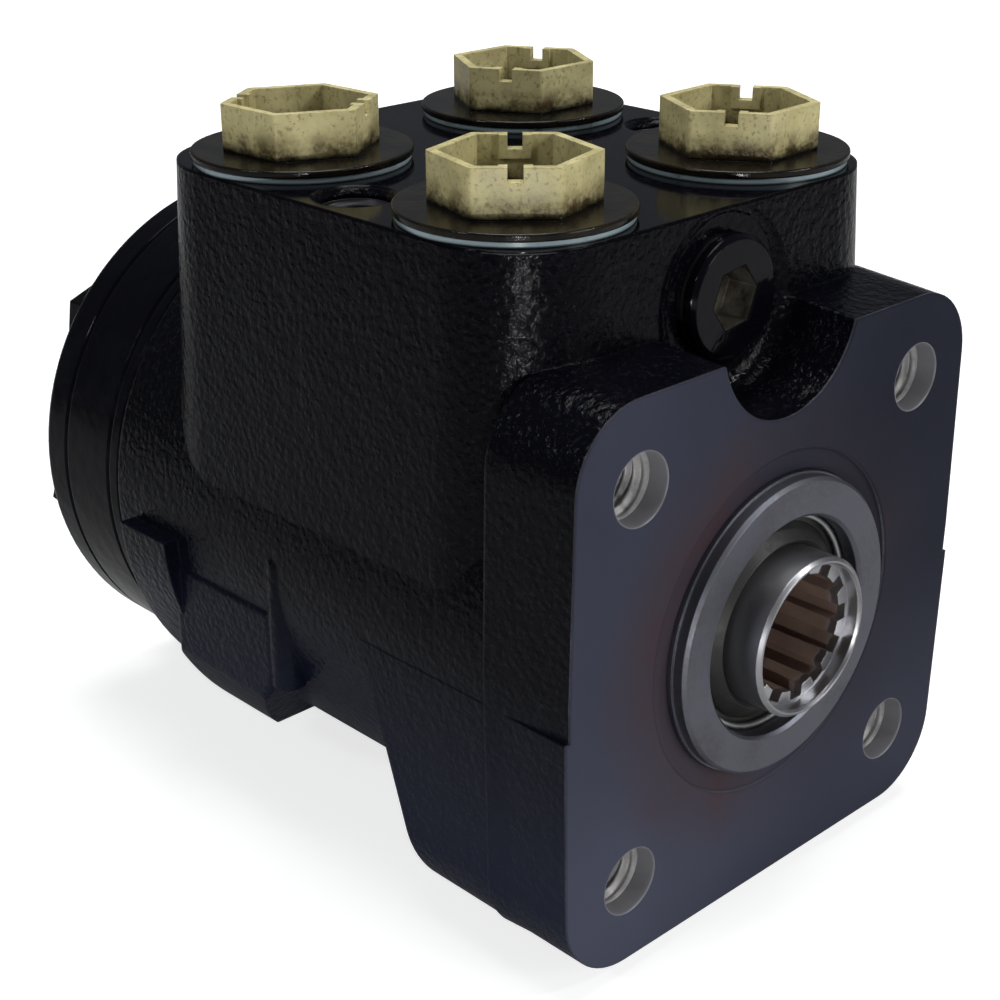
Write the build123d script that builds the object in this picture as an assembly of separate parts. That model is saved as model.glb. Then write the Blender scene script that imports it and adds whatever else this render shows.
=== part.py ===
from build123d import *
import os
from math import atan2, cos, degrees, hypot, pi, radians, sin, sqrt, tan

# Orbital steering unit: a rotary spool valve and an orbiting gear set on one axis.
# Millimetres.  The origin is the centre of the column flange's face, on the shaft axis.
# +Y runs back along the shaft to the end cover, +Z rises to the four ports.

# ------------------------------------------------------------------ driving sizes
# column flange: four threaded holes on a square pattern
PITCH_CIRCLE_D = 82.5
COLUMN_HOLE_R = 5.0
COLUMN_HOLE_DEPTH = 18.0
DRILL_TIP = 2.5
FLANGE_HALF = 41.3
FLANGE_BOW = 0.8
FLANGE_CORNER_R = 11.0

# casting
PARTING_Z = -2.5
FLANGE_T = 15.0
FLANGE_DRAFT = 4.0
SKIRT_PROUD = 0.7
SKIRT_BACK_Y = 41.0
SKIRT_BACK_SLOPE = 17.0
BODY_R = 42.0
HOUSING_LEN = 101.0

# port block
PORT_FACE_Z = 57.0
BLOCK_FRONT_Y = 12.6
BLOCK_REAR_GAP = 8.6
BLOCK_HALF_W = 38.3
BLOCK_CORNER_R = 14.0
WALL_DRAFT = 3.0

# ports and their transport caps
PORT_PITCH_X = 44.88
PORT_PITCH_Y = 44.4
PORTS_AHEAD = 1.0
PORT_R = 10.48
PORT_DEPTH = 15.0
PORT_PASSAGE_R = 2.8
CAP_FLANGE_R = 16.2
CAP_FLANGE_T = 1.1
CAP_HEX_CORNER_R = 11.6
CAP_HEX_H = 6.7
CAP_WALL = 1.3
CAP_SLOT_W = 2.0
CAP_SLOT_DEPTH = 1.9
CAP_BARREL_LEN = 9.0
CAP_BARREL_CLEAR = 0.08
CAP_PAD_W = 4.4
CAP_PAD_T = 0.6
CAP_PAD_H = 3.2
CAP_FLOOR_T = 1.6
CAP_WASHER_T = 0.8
CAP_WASHER_INSET = 0.35
CAP_WASHER_CLEAR = 0.1
CAP_FLANGE_FILLET = 0.3
CAP_HEX_FILLET = 0.6

# small threaded holes beside the ports
AUX_HOLE_X = 31.0
AUX_HOLE_R = 5.0
AUX_HOLE_DEPTH = 14.0
AUX_CHAMFER = 1.0

# rear lug, its upright rib and the rear swelling of the casting, low on both sides
LUG_TO_END = 13.7
LUG_LEN = 25.5
LUG_TOP_Z = -6.3
LUG_KNEE_Z = -18.5
LUG_FOOT_Z = -35.0
LUG_FOOT_LEAN = 13.0
LUG_REACH_R = 47.2
LUG_CORNER_R = 5.0
LUG_EDGE_R = 1.2
RIB_R = 2.6
RIB_TOP_Z = 1.5
RIB_AHEAD = 1.0
RIB_PROUD = 0.4
SWELL_R = 44.6
SWELL_TO_END = 4.0
SWELL_LEN = 12.0
SWELL_TOP_Z = -1.7

# relief valve pocket on the front of the port block
RELIEF_Z = 45.1
RELIEF_POCKET_R = 14.25
RELIEF_FLOOR_Y = 12.8
RELIEF_POCKET_FILLET = 3.0
RELIEF_HEAD_R = 8.6
RELIEF_HEAD_T = 1.9
RELIEF_THREAD_R = 6.0
RELIEF_THREAD_LEN = 9.0
RELIEF_HEX_AF = 8.0
RELIEF_HEX_DEPTH = 5.0
RELIEF_BORE_R = 4.6
RELIEF_BORE_LEN = 22.0
RELIEF_SEAT_R = 2.0
RELIEF_SEAT_LEN = 6.0
RELIEF_DRILL_R = 1.6
RELIEF_LIFT = 1.5
RELIEF_POPPET_LEN = 9.0
RELIEF_SPRING_POCKET_R = 4.3
RELIEF_SPRING_POCKET_DEPTH = 4.0
RELIEF_COIL_R = 3.3
RELIEF_WIRE_R = 0.6
RELIEF_TURNS = 5
RELIEF_RING_T = 0.8
RELIEF_RING_INSET = 0.3
RELIEF_RING_CLEAR = 0.1
RELIEF_HEX_TURN = 8.0
RELIEF_CHAMFER = 0.6
RELIEF_NOSE_STEP = 0.5
RELIEF_COIL_GAP = 0.2

# shaft and valve set
NOSE_R = 11.75
NOSE_PROUD = 6.45
MOUTH_R = 10.68
MOUTH_DEPTH = 2.2
NOSE_LEN = 27.0
SPLINE_TEETH = 12
SPLINE_MAJOR_R = 10.32
SPLINE_MINOR_R = 8.73
SPLINE_LEN = 20.0
SPLINE_SPACE_SHARE = 0.56
SPACE_MOUTH = 1.12
SPACE_ROOT = 0.8
SPACE_OVERLAP = 0.6
MOUTH_FLARE = 1.0
MOUTH_FLARE_DEPTH = 0.4
SPLINE_RUN_IN = 0.5
SPOOL_R = 14.0
SPOOL_BORE_R = 10.8
SPOOL_WEB_T = 5.0
SLEEVE_R = 19.5
RUNNING_FIT = 0.04
END_PLAY = 0.3
SPOOL_LEAD_DEG = 10.0
GROOVE_W = 3.4
SPOOL_GROOVES = 6
SPOOL_GROOVE_R = 2.0
SPOOL_GROOVE_Y = 56.0
SPOOL_GROOVE_LEN = 34.0
SLEEVE_HOLES = 6
SLEEVE_HOLE_R = 1.6

# thrust bearing at the front of the valve bore
BEARING_SHOULDER_Y = 14.0
RACE_T = 1.6
CAGE_T = 2.4
RACE_CLEAR = 0.64
NEEDLE_COUNT = 14
NEEDLE_LAND = 0.725
NEEDLE_FIT = 0.02
CAGE_INSET = 0.2
CAGE_WINDOW_PLAY = 0.1

# front seals
GLAND_R = 22.25
PILOT_R = 21.95
PILOT_END_Y = -0.1
GLAND_BORE_R = 16.3
GLAND_LIP_R = 13.2
GLAND_PROUD = 2.2
GLAND_DEPTH = 6.0
GLAND_LIP_T = 3.3
GLAND_POCKET_CLEAR = 0.05
HALO_R = 25.3
HALO_FLARE = 0.9
HALO_DEPTH = 0.6
SEAL_R = 16.0
SEAL_T = 4.6
SEAL_TOUCH = 0.06
DUST_SEAL_T = 2.4
DUST_SEAL_WALL = 1.6
DUST_SEAL_WEB = 2.4
DUST_SEAL_WEB_GAP = 0.5
DUST_LIP_RISE = 0.7
DUST_LIP_REACH = 2.2
DUST_LIP_LAND = (0.9, 1.7)
GLIDE_RING_R = 13.2
GLIDE_END_GAP = 0.4
GLAND_CORD_R = 0.9
GLAND_CORD_Y = 5.0
RETAINER_WIRE_R = 0.5

# cross pin and leaf springs
PIN_Y = 44.0
PIN_R = 4.0
PIN_SWING_CLEAR = 0.3
PIN_END_INSET = 0.3
PIN_CHAMFER = 0.4
SPRING_Y = 24.5
LEAF_W = 5.4
LEAF_T = 0.6
LEAF_BOW = 1.0
LEAF_GAP = 0.05
LEAF_END_CLEAR = 0.4
LEAF_SLOT_PLAY = 0.2
SPRING_SLOT_PLAY = 0.15
SPRING_RING_T = 0.7
SPRING_RING_SINK = 0.05
SPRING_RING_EXTRA = 0.8

# orbiting gear set
RING_LOBES = 7
ORBIT = 2.7
LOBE_R = 7.0
LOBE_CENTRE_R = 28.0
GEAR_CLEAR = 0.18
STACK_R = 42.0
PLATE_T = 3.0
RING_T = 12.5
COVER_T = 6.8
COVER_EDGE_R = 1.8
JOINT_CHAMFER = 0.5
STAR_SIDE_CLEAR = 0.05
TIMING_WALL = 1.66
TIMING_HOLE_R = 2.0
TIMING_FEED_R = 1.6
TIMING_FEED_OVERRUN = 3.0
TIMING_DEPTH = 14.0
LINK_HEAD_R = 8.7
LINK_ROOT_R = 7.3
LINK_SHAFT_R = 6.6
LINK_SPLINE_CLEAR = 0.45
LINK_SLOT_CLEAR = 0.5
STAR_SPLINE_R = 9.2
STAR_SPLINE_MINOR_R = 7.85
SPACER_LEN = 3.6
SPACER_CLEAR = 0.3
STAR_SPACE_SHARE = 0.56
STAR_POINTS_PER_TOOTH = 14
LINK_CROWN = 0.5
LINK_END_GAP = 0.6
LINK_FRONT_GAP = 0.4
LINK_HEAD_FILLET = 1.2
LINK_FORK_FRONT = 9.0
LINK_FORK_BACK = 9.5
PLATE_BORE_R = 10.4

# end cover screws
SCREW_CIRCLE_R = 32.3
SCREW_R = 4.0
SCREW_CLEAR = 0.3
SCREW_HEX_AF = 13.0
SCREW_HEAD_H = 4.4
SCREW_GRIP_IN_HOUSING = 14.0
WASHER_R = 7.4
WASHER_T = 0.8
WASHER_CLEAR = 0.2
TAPPED_EXTRA = 3.0
PIN_SCREW_HEAD_H = 5.0
PIN_SCREW_INDEX = 1

# round seals between the stacked plates
CORD_R = 0.9
CORD_SQUEEZE = 0.12
CORD_CIRCLE_R = 39.2

# check valve below the pump port
CHECK_BALL_R = 3.2
CHECK_BUSH_R = 5.0
CHECK_BUSH_T = 6.0
CHECK_BORE_R = 2.4
CHECK_LIFT = 1.0
CHECK_BALL_CLEAR = 0.25
SEAT_GAP = 0.03

# fits, gaps and edge breaks that several pieces share
SEAL_FIT = 0.02
FACE_GAP = 0.01
PIN_FIT = 0.02
CORD_PLAY = 0.1
CORD_SIDE_PLAY = 0.15
EDGE_BREAK = 0.5
NOSE_PASS = 0.7

# ------------------------------------------------------------------ worked-out sizes
HOLE_OFFSET = PITCH_CIRCLE_D / 2 / sqrt(2)
BLOCK_LEN = HOUSING_LEN - BLOCK_REAR_GAP - BLOCK_FRONT_Y
LUG_BACK_Y = HOUSING_LEN - LUG_TO_END
LUG_FRONT_Y = LUG_BACK_Y - LUG_LEN
SWELL_BACK_Y = HOUSING_LEN - SWELL_TO_END
BLOCK_MID_Y = BLOCK_FRONT_Y + BLOCK_LEN / 2
PORT_X = PORT_PITCH_X / 2
PORT_FRONT_Y = BLOCK_MID_Y - PORTS_AHEAD - PORT_PITCH_Y / 2
PORT_BACK_Y = PORT_FRONT_Y + PORT_PITCH_Y
AUX_HOLE_Y = (PORT_FRONT_Y + PORT_BACK_Y) / 2
SHOULDER_BORE_R = NOSE_R + NOSE_PASS
VALVE_BORE_R = SLEEVE_R + RUNNING_FIT
RACE_OUTER_R = VALVE_BORE_R - RACE_CLEAR
NEEDLE_LEN = RACE_OUTER_R - SHOULDER_BORE_R - 2 * NEEDLE_LAND
BEARING_BACK_Y = BEARING_SHOULDER_Y + 2 * RACE_T + CAGE_T
SLEEVE_FRONT_Y = BEARING_BACK_Y + END_PLAY
SLEEVE_BACK_Y = HOUSING_LEN - END_PLAY
NOSE_BACK_Y = NOSE_LEN - NOSE_PROUD
SPOOL_BACK_Y = SLEEVE_BACK_Y
WEB_FRONT_Y = SPLINE_LEN - NOSE_PROUD + MOUTH_DEPTH
WEB_BACK_Y = WEB_FRONT_Y + SPOOL_WEB_T
PLATE_BACK_Y = HOUSING_LEN + PLATE_T
RING_BACK_Y = PLATE_BACK_Y + RING_T
COVER_BACK_Y = RING_BACK_Y + COVER_T
STAR_MID_Y = (PLATE_BACK_Y + RING_BACK_Y) / 2
STAR_TEETH = RING_LOBES - 1
CAVITY_R = LOBE_CENTRE_R - LOBE_R + 2 * ORBIT + GEAR_CLEAR
CHECK_SEAT_RISE = sqrt(CHECK_BALL_R ** 2 - PORT_PASSAGE_R ** 2) + SEAT_GAP
CHECK_STOP_DROP = sqrt(CHECK_BALL_R ** 2 - CHECK_BORE_R ** 2) + SEAT_GAP
CHECK_STOP_Z = PORT_FACE_Z - PORT_DEPTH - CHECK_BUSH_T
CHECK_SEAT_Z = CHECK_STOP_Z - CHECK_SEAT_RISE - CHECK_STOP_DROP - CHECK_LIFT
GLAND_BACK_Y = GLAND_DEPTH - GLAND_PROUD + GLAND_LIP_T
SEAL_BACK_Y = GLAND_BACK_Y + SEAL_T
RELIEF_THREAD_END_Y = RELIEF_FLOOR_Y + RELIEF_THREAD_LEN + 1
RELIEF_SEAT_Y = RELIEF_THREAD_END_Y + RELIEF_BORE_LEN
CORD_DEPTH = 2 * CORD_R - CORD_SQUEEZE
RELIEF_POCKET_Y = RELIEF_FLOOR_Y - RELIEF_RING_T + RELIEF_THREAD_LEN - RELIEF_SPRING_POCKET_DEPTH
SPRING_SLOT_HALF = LEAF_GAP / 2 + 3 * LEAF_T + 2 * LEAF_GAP + LEAF_BOW + SPRING_SLOT_PLAY
STAR_PHASE = (90 - 180 / RING_LOBES) * RING_LOBES / STAR_TEETH
LINK_TILT = degrees(atan2(ORBIT, STAR_MID_Y - PIN_Y))
SCREW_STEP = 360 / RING_LOBES
CAP_SEAT_Z = PORT_FACE_Z + CAP_WASHER_T
CAP_TOP_Z = CAP_SEAT_Z + CAP_FLANGE_T + CAP_HEX_H
PORTS = {
    "p": (-PORT_X, PORT_FRONT_Y, 16.0),
    "t": (PORT_X, PORT_FRONT_Y, 3.0),
    "l": (-PORT_X, PORT_BACK_Y, 93.0),
    "r": (PORT_X, PORT_BACK_Y, 0.0),
}
PASSAGE_Y = {
    "p": PORT_FRONT_Y + 5.0,
    "t": PORT_FRONT_Y + 0.6,
    "l": PORT_BACK_Y - 5.0,
    "r": PORT_BACK_Y + 4.0,
}
TIMING_CIRCLE_R = VALVE_BORE_R + TIMING_WALL + TIMING_HOLE_R
TIMING_ROW_Y = HOUSING_LEN - TIMING_DEPTH + TIMING_HOLE_R
SLEEVE_ROWS = list(PASSAGE_Y.values()) + [TIMING_ROW_Y]


# ------------------------------------------------------------------ helpers
def rod(radius, y0, y1, x=0.0, z=0.0):
    """Solid round bar along Y."""
    return Pos(x, (y0 + y1) / 2, z) * Rot(90, 0, 0) * Cylinder(radius, y1 - y0)


def tube(outer, inner, y0, y1, x=0.0, z=0.0):
    """Ring along Y."""
    return rod(outer, y0, y1, x, z) - rod(inner, y0 - 1, y1 + 1, x, z)


def post(radius, z0, z1, x, y):
    """Solid round bar along Z."""
    return Pos(x, y, (z0 + z1) / 2) * Cylinder(radius, z1 - z0)


def across_rod(radius, x0, x1, y, z):
    """Solid round bar along X."""
    return Pos((x0 + x1) / 2, y, z) * Rot(0, 90, 0) * Cylinder(radius, x1 - x0)


def turned(*points):
    """Solid of revolution about Y from (radius, y) points."""
    return revolve(make_face(Polyline(*points, close=True)), axis=Axis.Y)


def slab(sketch, y0, y1):
    """Sketch drawn in X and Z, carried along Y."""
    return Pos(0, y0, 0) * extrude(Plane.XZ * sketch, amount=-(y1 - y0))


def hex_bar(across_flats, y0, y1, turn=0.0):
    """Hexagonal bar along Y."""
    corner = across_flats / sqrt(3)
    return slab(RegularPolygon(corner, 6, rotation=turn), y0, y1)


def box_at(x0, x1, y0, y1, z0, z1):
    """Box between two corners."""
    return Pos((x0 + x1) / 2, (y0 + y1) / 2, (z0 + z1) / 2) * Box(x1 - x0, y1 - y0, z1 - z0)


def polar(radius, angle):
    """Point in X and Z at an angle from +X towards +Z."""
    return radius * cos(radians(angle)), radius * sin(radians(angle))


def screw_angles():
    """The seven screw places, one straight up."""
    return [90 + SCREW_STEP * i for i in range(RING_LOBES)]


def spline_space(teeth, root_r, tip_r, share, y0, y1):
    """Bore with straight-sided tooth spaces, to be cut from a solid."""
    bore = rod(tip_r, y0, y1)
    half = share * pi / teeth
    inner = tip_r - SPACE_OVERLAP
    mouth = half * SPACE_MOUTH
    root = half * SPACE_ROOT
    wedge = [(inner * cos(a), inner * sin(a)) for a in (mouth, -mouth)]
    wedge += [(root_r * cos(a), root_r * sin(a)) for a in (-root, root)]
    space = slab(make_face(Polyline(*wedge, close=True)), y0, y1)
    for i in range(teeth):
        bore += Rot(0, 360 / teeth * i, 0) * space
    return bore


# ------------------------------------------------------------------ housing
def flange_section():
    """Square with slightly bowed sides and rounded corners."""
    tip = FLANGE_HALF - FLANGE_BOW
    outline = Polyline(
        (-tip, FLANGE_HALF), (tip, FLANGE_HALF), (FLANGE_HALF, PARTING_Z),
        (tip, -FLANGE_HALF), (-tip, -FLANGE_HALF), (-FLANGE_HALF, PARTING_Z), close=True,
    )
    face = make_face(outline)
    corners = [v for v in face.vertices() if abs(v.Y) > FLANGE_HALF - 1]
    return fillet(corners, FLANGE_CORNER_R)


def flange_block():
    """Flange above the parting line; below it, a proud skirt whose back slopes."""
    reach = 2 * FLANGE_HALF
    low = box_at(-reach, reach, -1, reach, -reach, PARTING_Z)
    plate = Rot(90, 0, 0) * extrude(
        mirror(flange_section(), about=Plane.XZ), amount=-FLANGE_T, taper=-FLANGE_DRAFT
    )
    skirt = slab(offset(flange_section(), SKIRT_PROUD), 0, SKIRT_BACK_Y) & low
    foot_z = PARTING_Z - reach
    foot_y = SKIRT_BACK_Y - reach * tan(radians(SKIRT_BACK_SLOPE))
    wedge = make_face(Polyline(
        (SKIRT_BACK_Y, PARTING_Z), (reach, PARTING_Z), (reach, foot_z), (foot_y, foot_z),
        close=True,
    ))
    return plate + (skirt - extrude(Plane.YZ * wedge, amount=reach, both=True))


def port_block():
    """Drafted block that carries the ports."""
    rise = PORT_FACE_Z - PARTING_Z
    spread = rise * tan(radians(WALL_DRAFT))
    foot = RectangleRounded(
        2 * (BLOCK_HALF_W + spread), BLOCK_LEN + 2 * spread, BLOCK_CORNER_R + spread
    )
    return Pos(0, BLOCK_MID_Y, PARTING_Z) * extrude(foot, amount=rise, taper=WALL_DRAFT)


def rear_lug(side):
    """Lug low on one side; its lower front corner leans back towards a round foot."""
    profile = make_face(Polyline(
        (LUG_FRONT_Y, LUG_TOP_Z), (LUG_BACK_Y, LUG_TOP_Z), (LUG_BACK_Y, LUG_FOOT_Z),
        (LUG_FRONT_Y + LUG_FOOT_LEAN, LUG_FOOT_Z), (LUG_FRONT_Y, LUG_KNEE_Z), close=True,
    ))
    low = [v for v in profile.vertices() if v.Y < LUG_TOP_Z - 1]
    profile = fillet(low, LUG_CORNER_R)
    lug = extrude(Plane.YZ * profile, amount=side * (FLANGE_HALF + SKIRT_PROUD))
    lug &= rod(LUG_REACH_R, LUG_FRONT_Y - 1, LUG_BACK_Y + 1)
    outer = lug.faces().sort_by(Axis.X)[-1 if side > 0 else 0]
    return fillet(outer.edges(), LUG_EDGE_R)


def side_rib(side):
    """Upright round rib that forms the front edge of a lug, with a domed top."""
    x = side * (FLANGE_HALF + SKIRT_PROUD + RIB_PROUD - RIB_R)
    y = LUG_FRONT_Y - RIB_AHEAD
    rib = post(RIB_R, LUG_KNEE_Z, RIB_TOP_Z, x, y)
    return rib + Pos(x, y, RIB_TOP_Z) * Sphere(RIB_R)


def housing_body():
    """The bare casting, before anything is bored."""
    body = flange_block() + port_block()
    body += rod(BODY_R, FLANGE_T, HOUSING_LEN)
    swell = rod(SWELL_R, SWELL_BACK_Y - SWELL_LEN, SWELL_BACK_Y)
    body += swell & box_at(-SWELL_R, SWELL_R, 0, HOUSING_LEN, -SWELL_R, SWELL_TOP_Z)
    for side in (-1, 1):
        body += rear_lug(side) + side_rib(side)
    return body


def relief_pocket():
    """Round pocket with a filleted floor, where a key reaches the relief plug."""
    pocket = rod(RELIEF_POCKET_R, -5, RELIEF_FLOOR_Y, 0, RELIEF_Z)
    floor = pocket.edges().filter_by(GeomType.CIRCLE).sort_by(Axis.Y)[-1:]
    return fillet(floor, RELIEF_POCKET_FILLET)


def relief_bores():
    """Thread bore, spring bore and seat hole of the relief valve."""
    thread_end = RELIEF_THREAD_END_Y
    drill_y = RELIEF_SEAT_Y + RELIEF_SEAT_LEN - RELIEF_SEAT_R
    return [
        rod(RELIEF_THREAD_R + RUNNING_FIT, 0, thread_end, 0, RELIEF_Z),
        rod(RELIEF_BORE_R, thread_end - 1, RELIEF_SEAT_Y, 0, RELIEF_Z),
        rod(RELIEF_SEAT_R, RELIEF_SEAT_Y - 1, RELIEF_SEAT_Y + RELIEF_SEAT_LEN, 0, RELIEF_Z),
        across_rod(RELIEF_DRILL_R, -PORT_X, 0, drill_y, RELIEF_Z),
        rod(RELIEF_SEAT_R, PORT_FRONT_Y, drill_y + RELIEF_SEAT_R, -PORT_X, RELIEF_Z),
        across_rod(RELIEF_DRILL_R, 0, PORT_X, PORT_FRONT_Y, RELIEF_Z),
    ]


def port_bores():
    """Four threaded ports, their drillings and the annular grooves they feed."""
    cut = []
    for name, (x, y, _) in PORTS.items():
        cut.append(post(PORT_R, PORT_FACE_Z - PORT_DEPTH, PORT_FACE_Z + 5, x, y))
        cut.append(post(PORT_PASSAGE_R, 0, PORT_FACE_Z - PORT_DEPTH + 1, x, PASSAGE_Y[name]))
        groove_r = PORT_X + PORT_PASSAGE_R / 2
        half = GROOVE_W / 2
        cut.append(rod(groove_r, PASSAGE_Y[name] - half, PASSAGE_Y[name] + half))
    return cut


def check_bores():
    """Stepped bore under the pump port for the check ball and its bush."""
    x, _, _ = PORTS["p"]
    y = PASSAGE_Y["p"]
    floor = PORT_FACE_Z - PORT_DEPTH
    return [
        post(CHECK_BUSH_R + RUNNING_FIT, CHECK_STOP_Z, floor + 1, x, y),
        post(CHECK_BALL_R + CHECK_BALL_CLEAR, CHECK_SEAT_Z, CHECK_STOP_Z + 1, x, y),
    ]


def shaft_bores():
    """Every bore on the shaft axis, front to back."""
    return turned(
        (0, -1), (HALO_R + HALO_FLARE, -1), (HALO_R, HALO_DEPTH),
        (GLAND_R + GLAND_POCKET_CLEAR, HALO_DEPTH),
        (GLAND_R + GLAND_POCKET_CLEAR, GLAND_BACK_Y), (SEAL_R + RUNNING_FIT, GLAND_BACK_Y),
        (SEAL_R + RUNNING_FIT, SEAL_BACK_Y), (SHOULDER_BORE_R, SEAL_BACK_Y),
        (SHOULDER_BORE_R, BEARING_SHOULDER_Y), (VALVE_BORE_R, BEARING_SHOULDER_Y),
        (VALVE_BORE_R, HOUSING_LEN + 1), (0, HOUSING_LEN + 1),
    )


def column_holes():
    """Four threaded holes for the steering column."""
    hole = turned(
        (0, -1), (COLUMN_HOLE_R, -1), (COLUMN_HOLE_R, COLUMN_HOLE_DEPTH),
        (0, COLUMN_HOLE_DEPTH + DRILL_TIP),
    )
    places = [(sx * HOLE_OFFSET, 0, sz * HOLE_OFFSET) for sx in (-1, 1) for sz in (-1, 1)]
    return [Pos(*place) * hole for place in places]


def aux_holes():
    """Threaded holes in the port face, one on each side."""
    hole = revolve(make_face(Polyline(
        (0, 1), (AUX_HOLE_R + AUX_CHAMFER + 1, 1), (AUX_HOLE_R, -AUX_CHAMFER),
        (AUX_HOLE_R, -AUX_HOLE_DEPTH), (0, -AUX_HOLE_DEPTH - DRILL_TIP), close=True,
    )), axis=Axis.Y)
    upright = Rot(90, 0, 0) * hole
    return [Pos(side * AUX_HOLE_X, AUX_HOLE_Y, PORT_FACE_Z) * upright for side in (-1, 1)]


def screw_holes_in_housing():
    """Tapped holes for the cover screws."""
    cut = []
    for angle in screw_angles():
        x, z = polar(SCREW_CIRCLE_R, angle)
        depth = SCREW_GRIP_IN_HOUSING + TAPPED_EXTRA
        cut.append(rod(SCREW_R + RUNNING_FIT, HOUSING_LEN - depth, HOUSING_LEN + 1, x, z))
    return cut


def cord_groove(y_face):
    """Groove for a round seal, open towards +Y at the given face."""
    half = CORD_R + CORD_SIDE_PLAY
    return tube(CORD_CIRCLE_R + half, CORD_CIRCLE_R - half, y_face - CORD_DEPTH, y_face + 1)


def timing_holes(y0, y1):
    """Drillings along the axis that lead oil to the seven gear chambers."""
    cut = []
    for angle in screw_angles():
        x, z = polar(TIMING_CIRCLE_R, angle + SCREW_STEP / 2)
        cut.append(rod(TIMING_HOLE_R, y0, y1, x, z))
    return cut


def timing_feeds():
    """Short radial drillings from the valve bore into the timing holes."""
    feed = across_rod(
        TIMING_FEED_R, SLEEVE_R - TIMING_FEED_OVERRUN, TIMING_CIRCLE_R, TIMING_ROW_Y, 0
    )
    return [Rot(0, -a - SCREW_STEP / 2, 0) * feed for a in screw_angles()]


def housing():
    """Cast housing with every bore, hole and pocket."""
    cuts = [relief_pocket(), shaft_bores(), cord_groove(HOUSING_LEN)]
    cuts += relief_bores() + port_bores() + check_bores()
    cuts += column_holes() + aux_holes() + screw_holes_in_housing() + timing_feeds()
    cuts += timing_holes(HOUSING_LEN - TIMING_DEPTH, HOUSING_LEN + 1)
    body = housing_body()
    for cut in cuts:
        body -= cut
    return body


# ------------------------------------------------------------------ relief valve
def relief_plug():
    """Screw plug with a hexagon socket and a pocket for the spring."""
    head_back = RELIEF_FLOOR_Y - RELIEF_RING_T
    head_front = head_back - RELIEF_HEAD_T
    shank_end = head_back + RELIEF_THREAD_LEN
    plug = rod(RELIEF_HEAD_R, head_front, head_back)
    rim = plug.edges().filter_by(GeomType.CIRCLE).sort_by(Axis.Y)[:1]
    plug = chamfer(rim, RELIEF_CHAMFER) + rod(RELIEF_THREAD_R, head_back, shank_end)
    socket_floor = head_front + RELIEF_HEX_DEPTH
    plug -= hex_bar(RELIEF_HEX_AF, head_front - 1, socket_floor, turn=RELIEF_HEX_TURN)
    plug -= rod(RELIEF_SPRING_POCKET_R, RELIEF_POCKET_Y, shank_end + 1)
    return Pos(0, 0, RELIEF_Z) * plug


def relief_ring():
    """Sealing washer under the plug's head."""
    return tube(
        RELIEF_HEAD_R - RELIEF_RING_INSET, RELIEF_THREAD_R + RELIEF_RING_CLEAR,
        RELIEF_FLOOR_Y - RELIEF_RING_T, RELIEF_FLOOR_Y, 0, RELIEF_Z,
    )


def relief_poppet():
    """Guided poppet whose cone closes the seat hole."""
    guide_r = RELIEF_BORE_R - RUNNING_FIT
    nose_r = RELIEF_SEAT_R - RELIEF_NOSE_STEP
    cone_len = guide_r - nose_r
    contact = guide_r - RELIEF_SEAT_R
    back = RELIEF_SEAT_Y - RELIEF_POPPET_LEN
    cone_start = RELIEF_SEAT_Y - contact - SEAT_GAP
    body = turned(
        (0, back), (guide_r, back), (guide_r, cone_start),
        (nose_r, cone_start + cone_len), (0, cone_start + cone_len),
    )
    return Pos(0, 0, RELIEF_Z) * body


def relief_spring():
    """Coil spring that holds the poppet shut, with flat ground ends."""
    start = RELIEF_POCKET_Y + RELIEF_LIFT + RELIEF_COIL_GAP
    end = RELIEF_SEAT_Y - RELIEF_POPPET_LEN
    wire = RELIEF_WIRE_R
    length = end - start
    coil = Helix(pitch=length / RELIEF_TURNS, height=length, radius=RELIEF_COIL_R)
    section = Plane(origin=coil @ 0, z_dir=coil % 0) * RegularPolygon(wire, 6)
    spring = sweep(section, path=coil)
    ground = Cylinder(RELIEF_BORE_R, length)
    spring &= Pos(0, 0, length / 2) * ground
    return Pos(0, start, RELIEF_Z) * Rot(-90, 0, 0) * spring


# ------------------------------------------------------------------ check valve
def check_bush():
    """Bush that stops the ball; the pump's oil comes through it."""
    x, _, _ = PORTS["p"]
    y = PASSAGE_Y["p"]
    top = PORT_FACE_Z - PORT_DEPTH
    bush = post(CHECK_BUSH_R, CHECK_STOP_Z, top, x, y)
    return bush - post(CHECK_BORE_R, CHECK_STOP_Z - 1, top + 1, x, y)


def check_ball():
    """Ball that rests on its lower seat."""
    x, _, _ = PORTS["p"]
    return Pos(x, PASSAGE_Y["p"], CHECK_SEAT_Z + CHECK_SEAT_RISE) * Sphere(CHECK_BALL_R)


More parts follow.
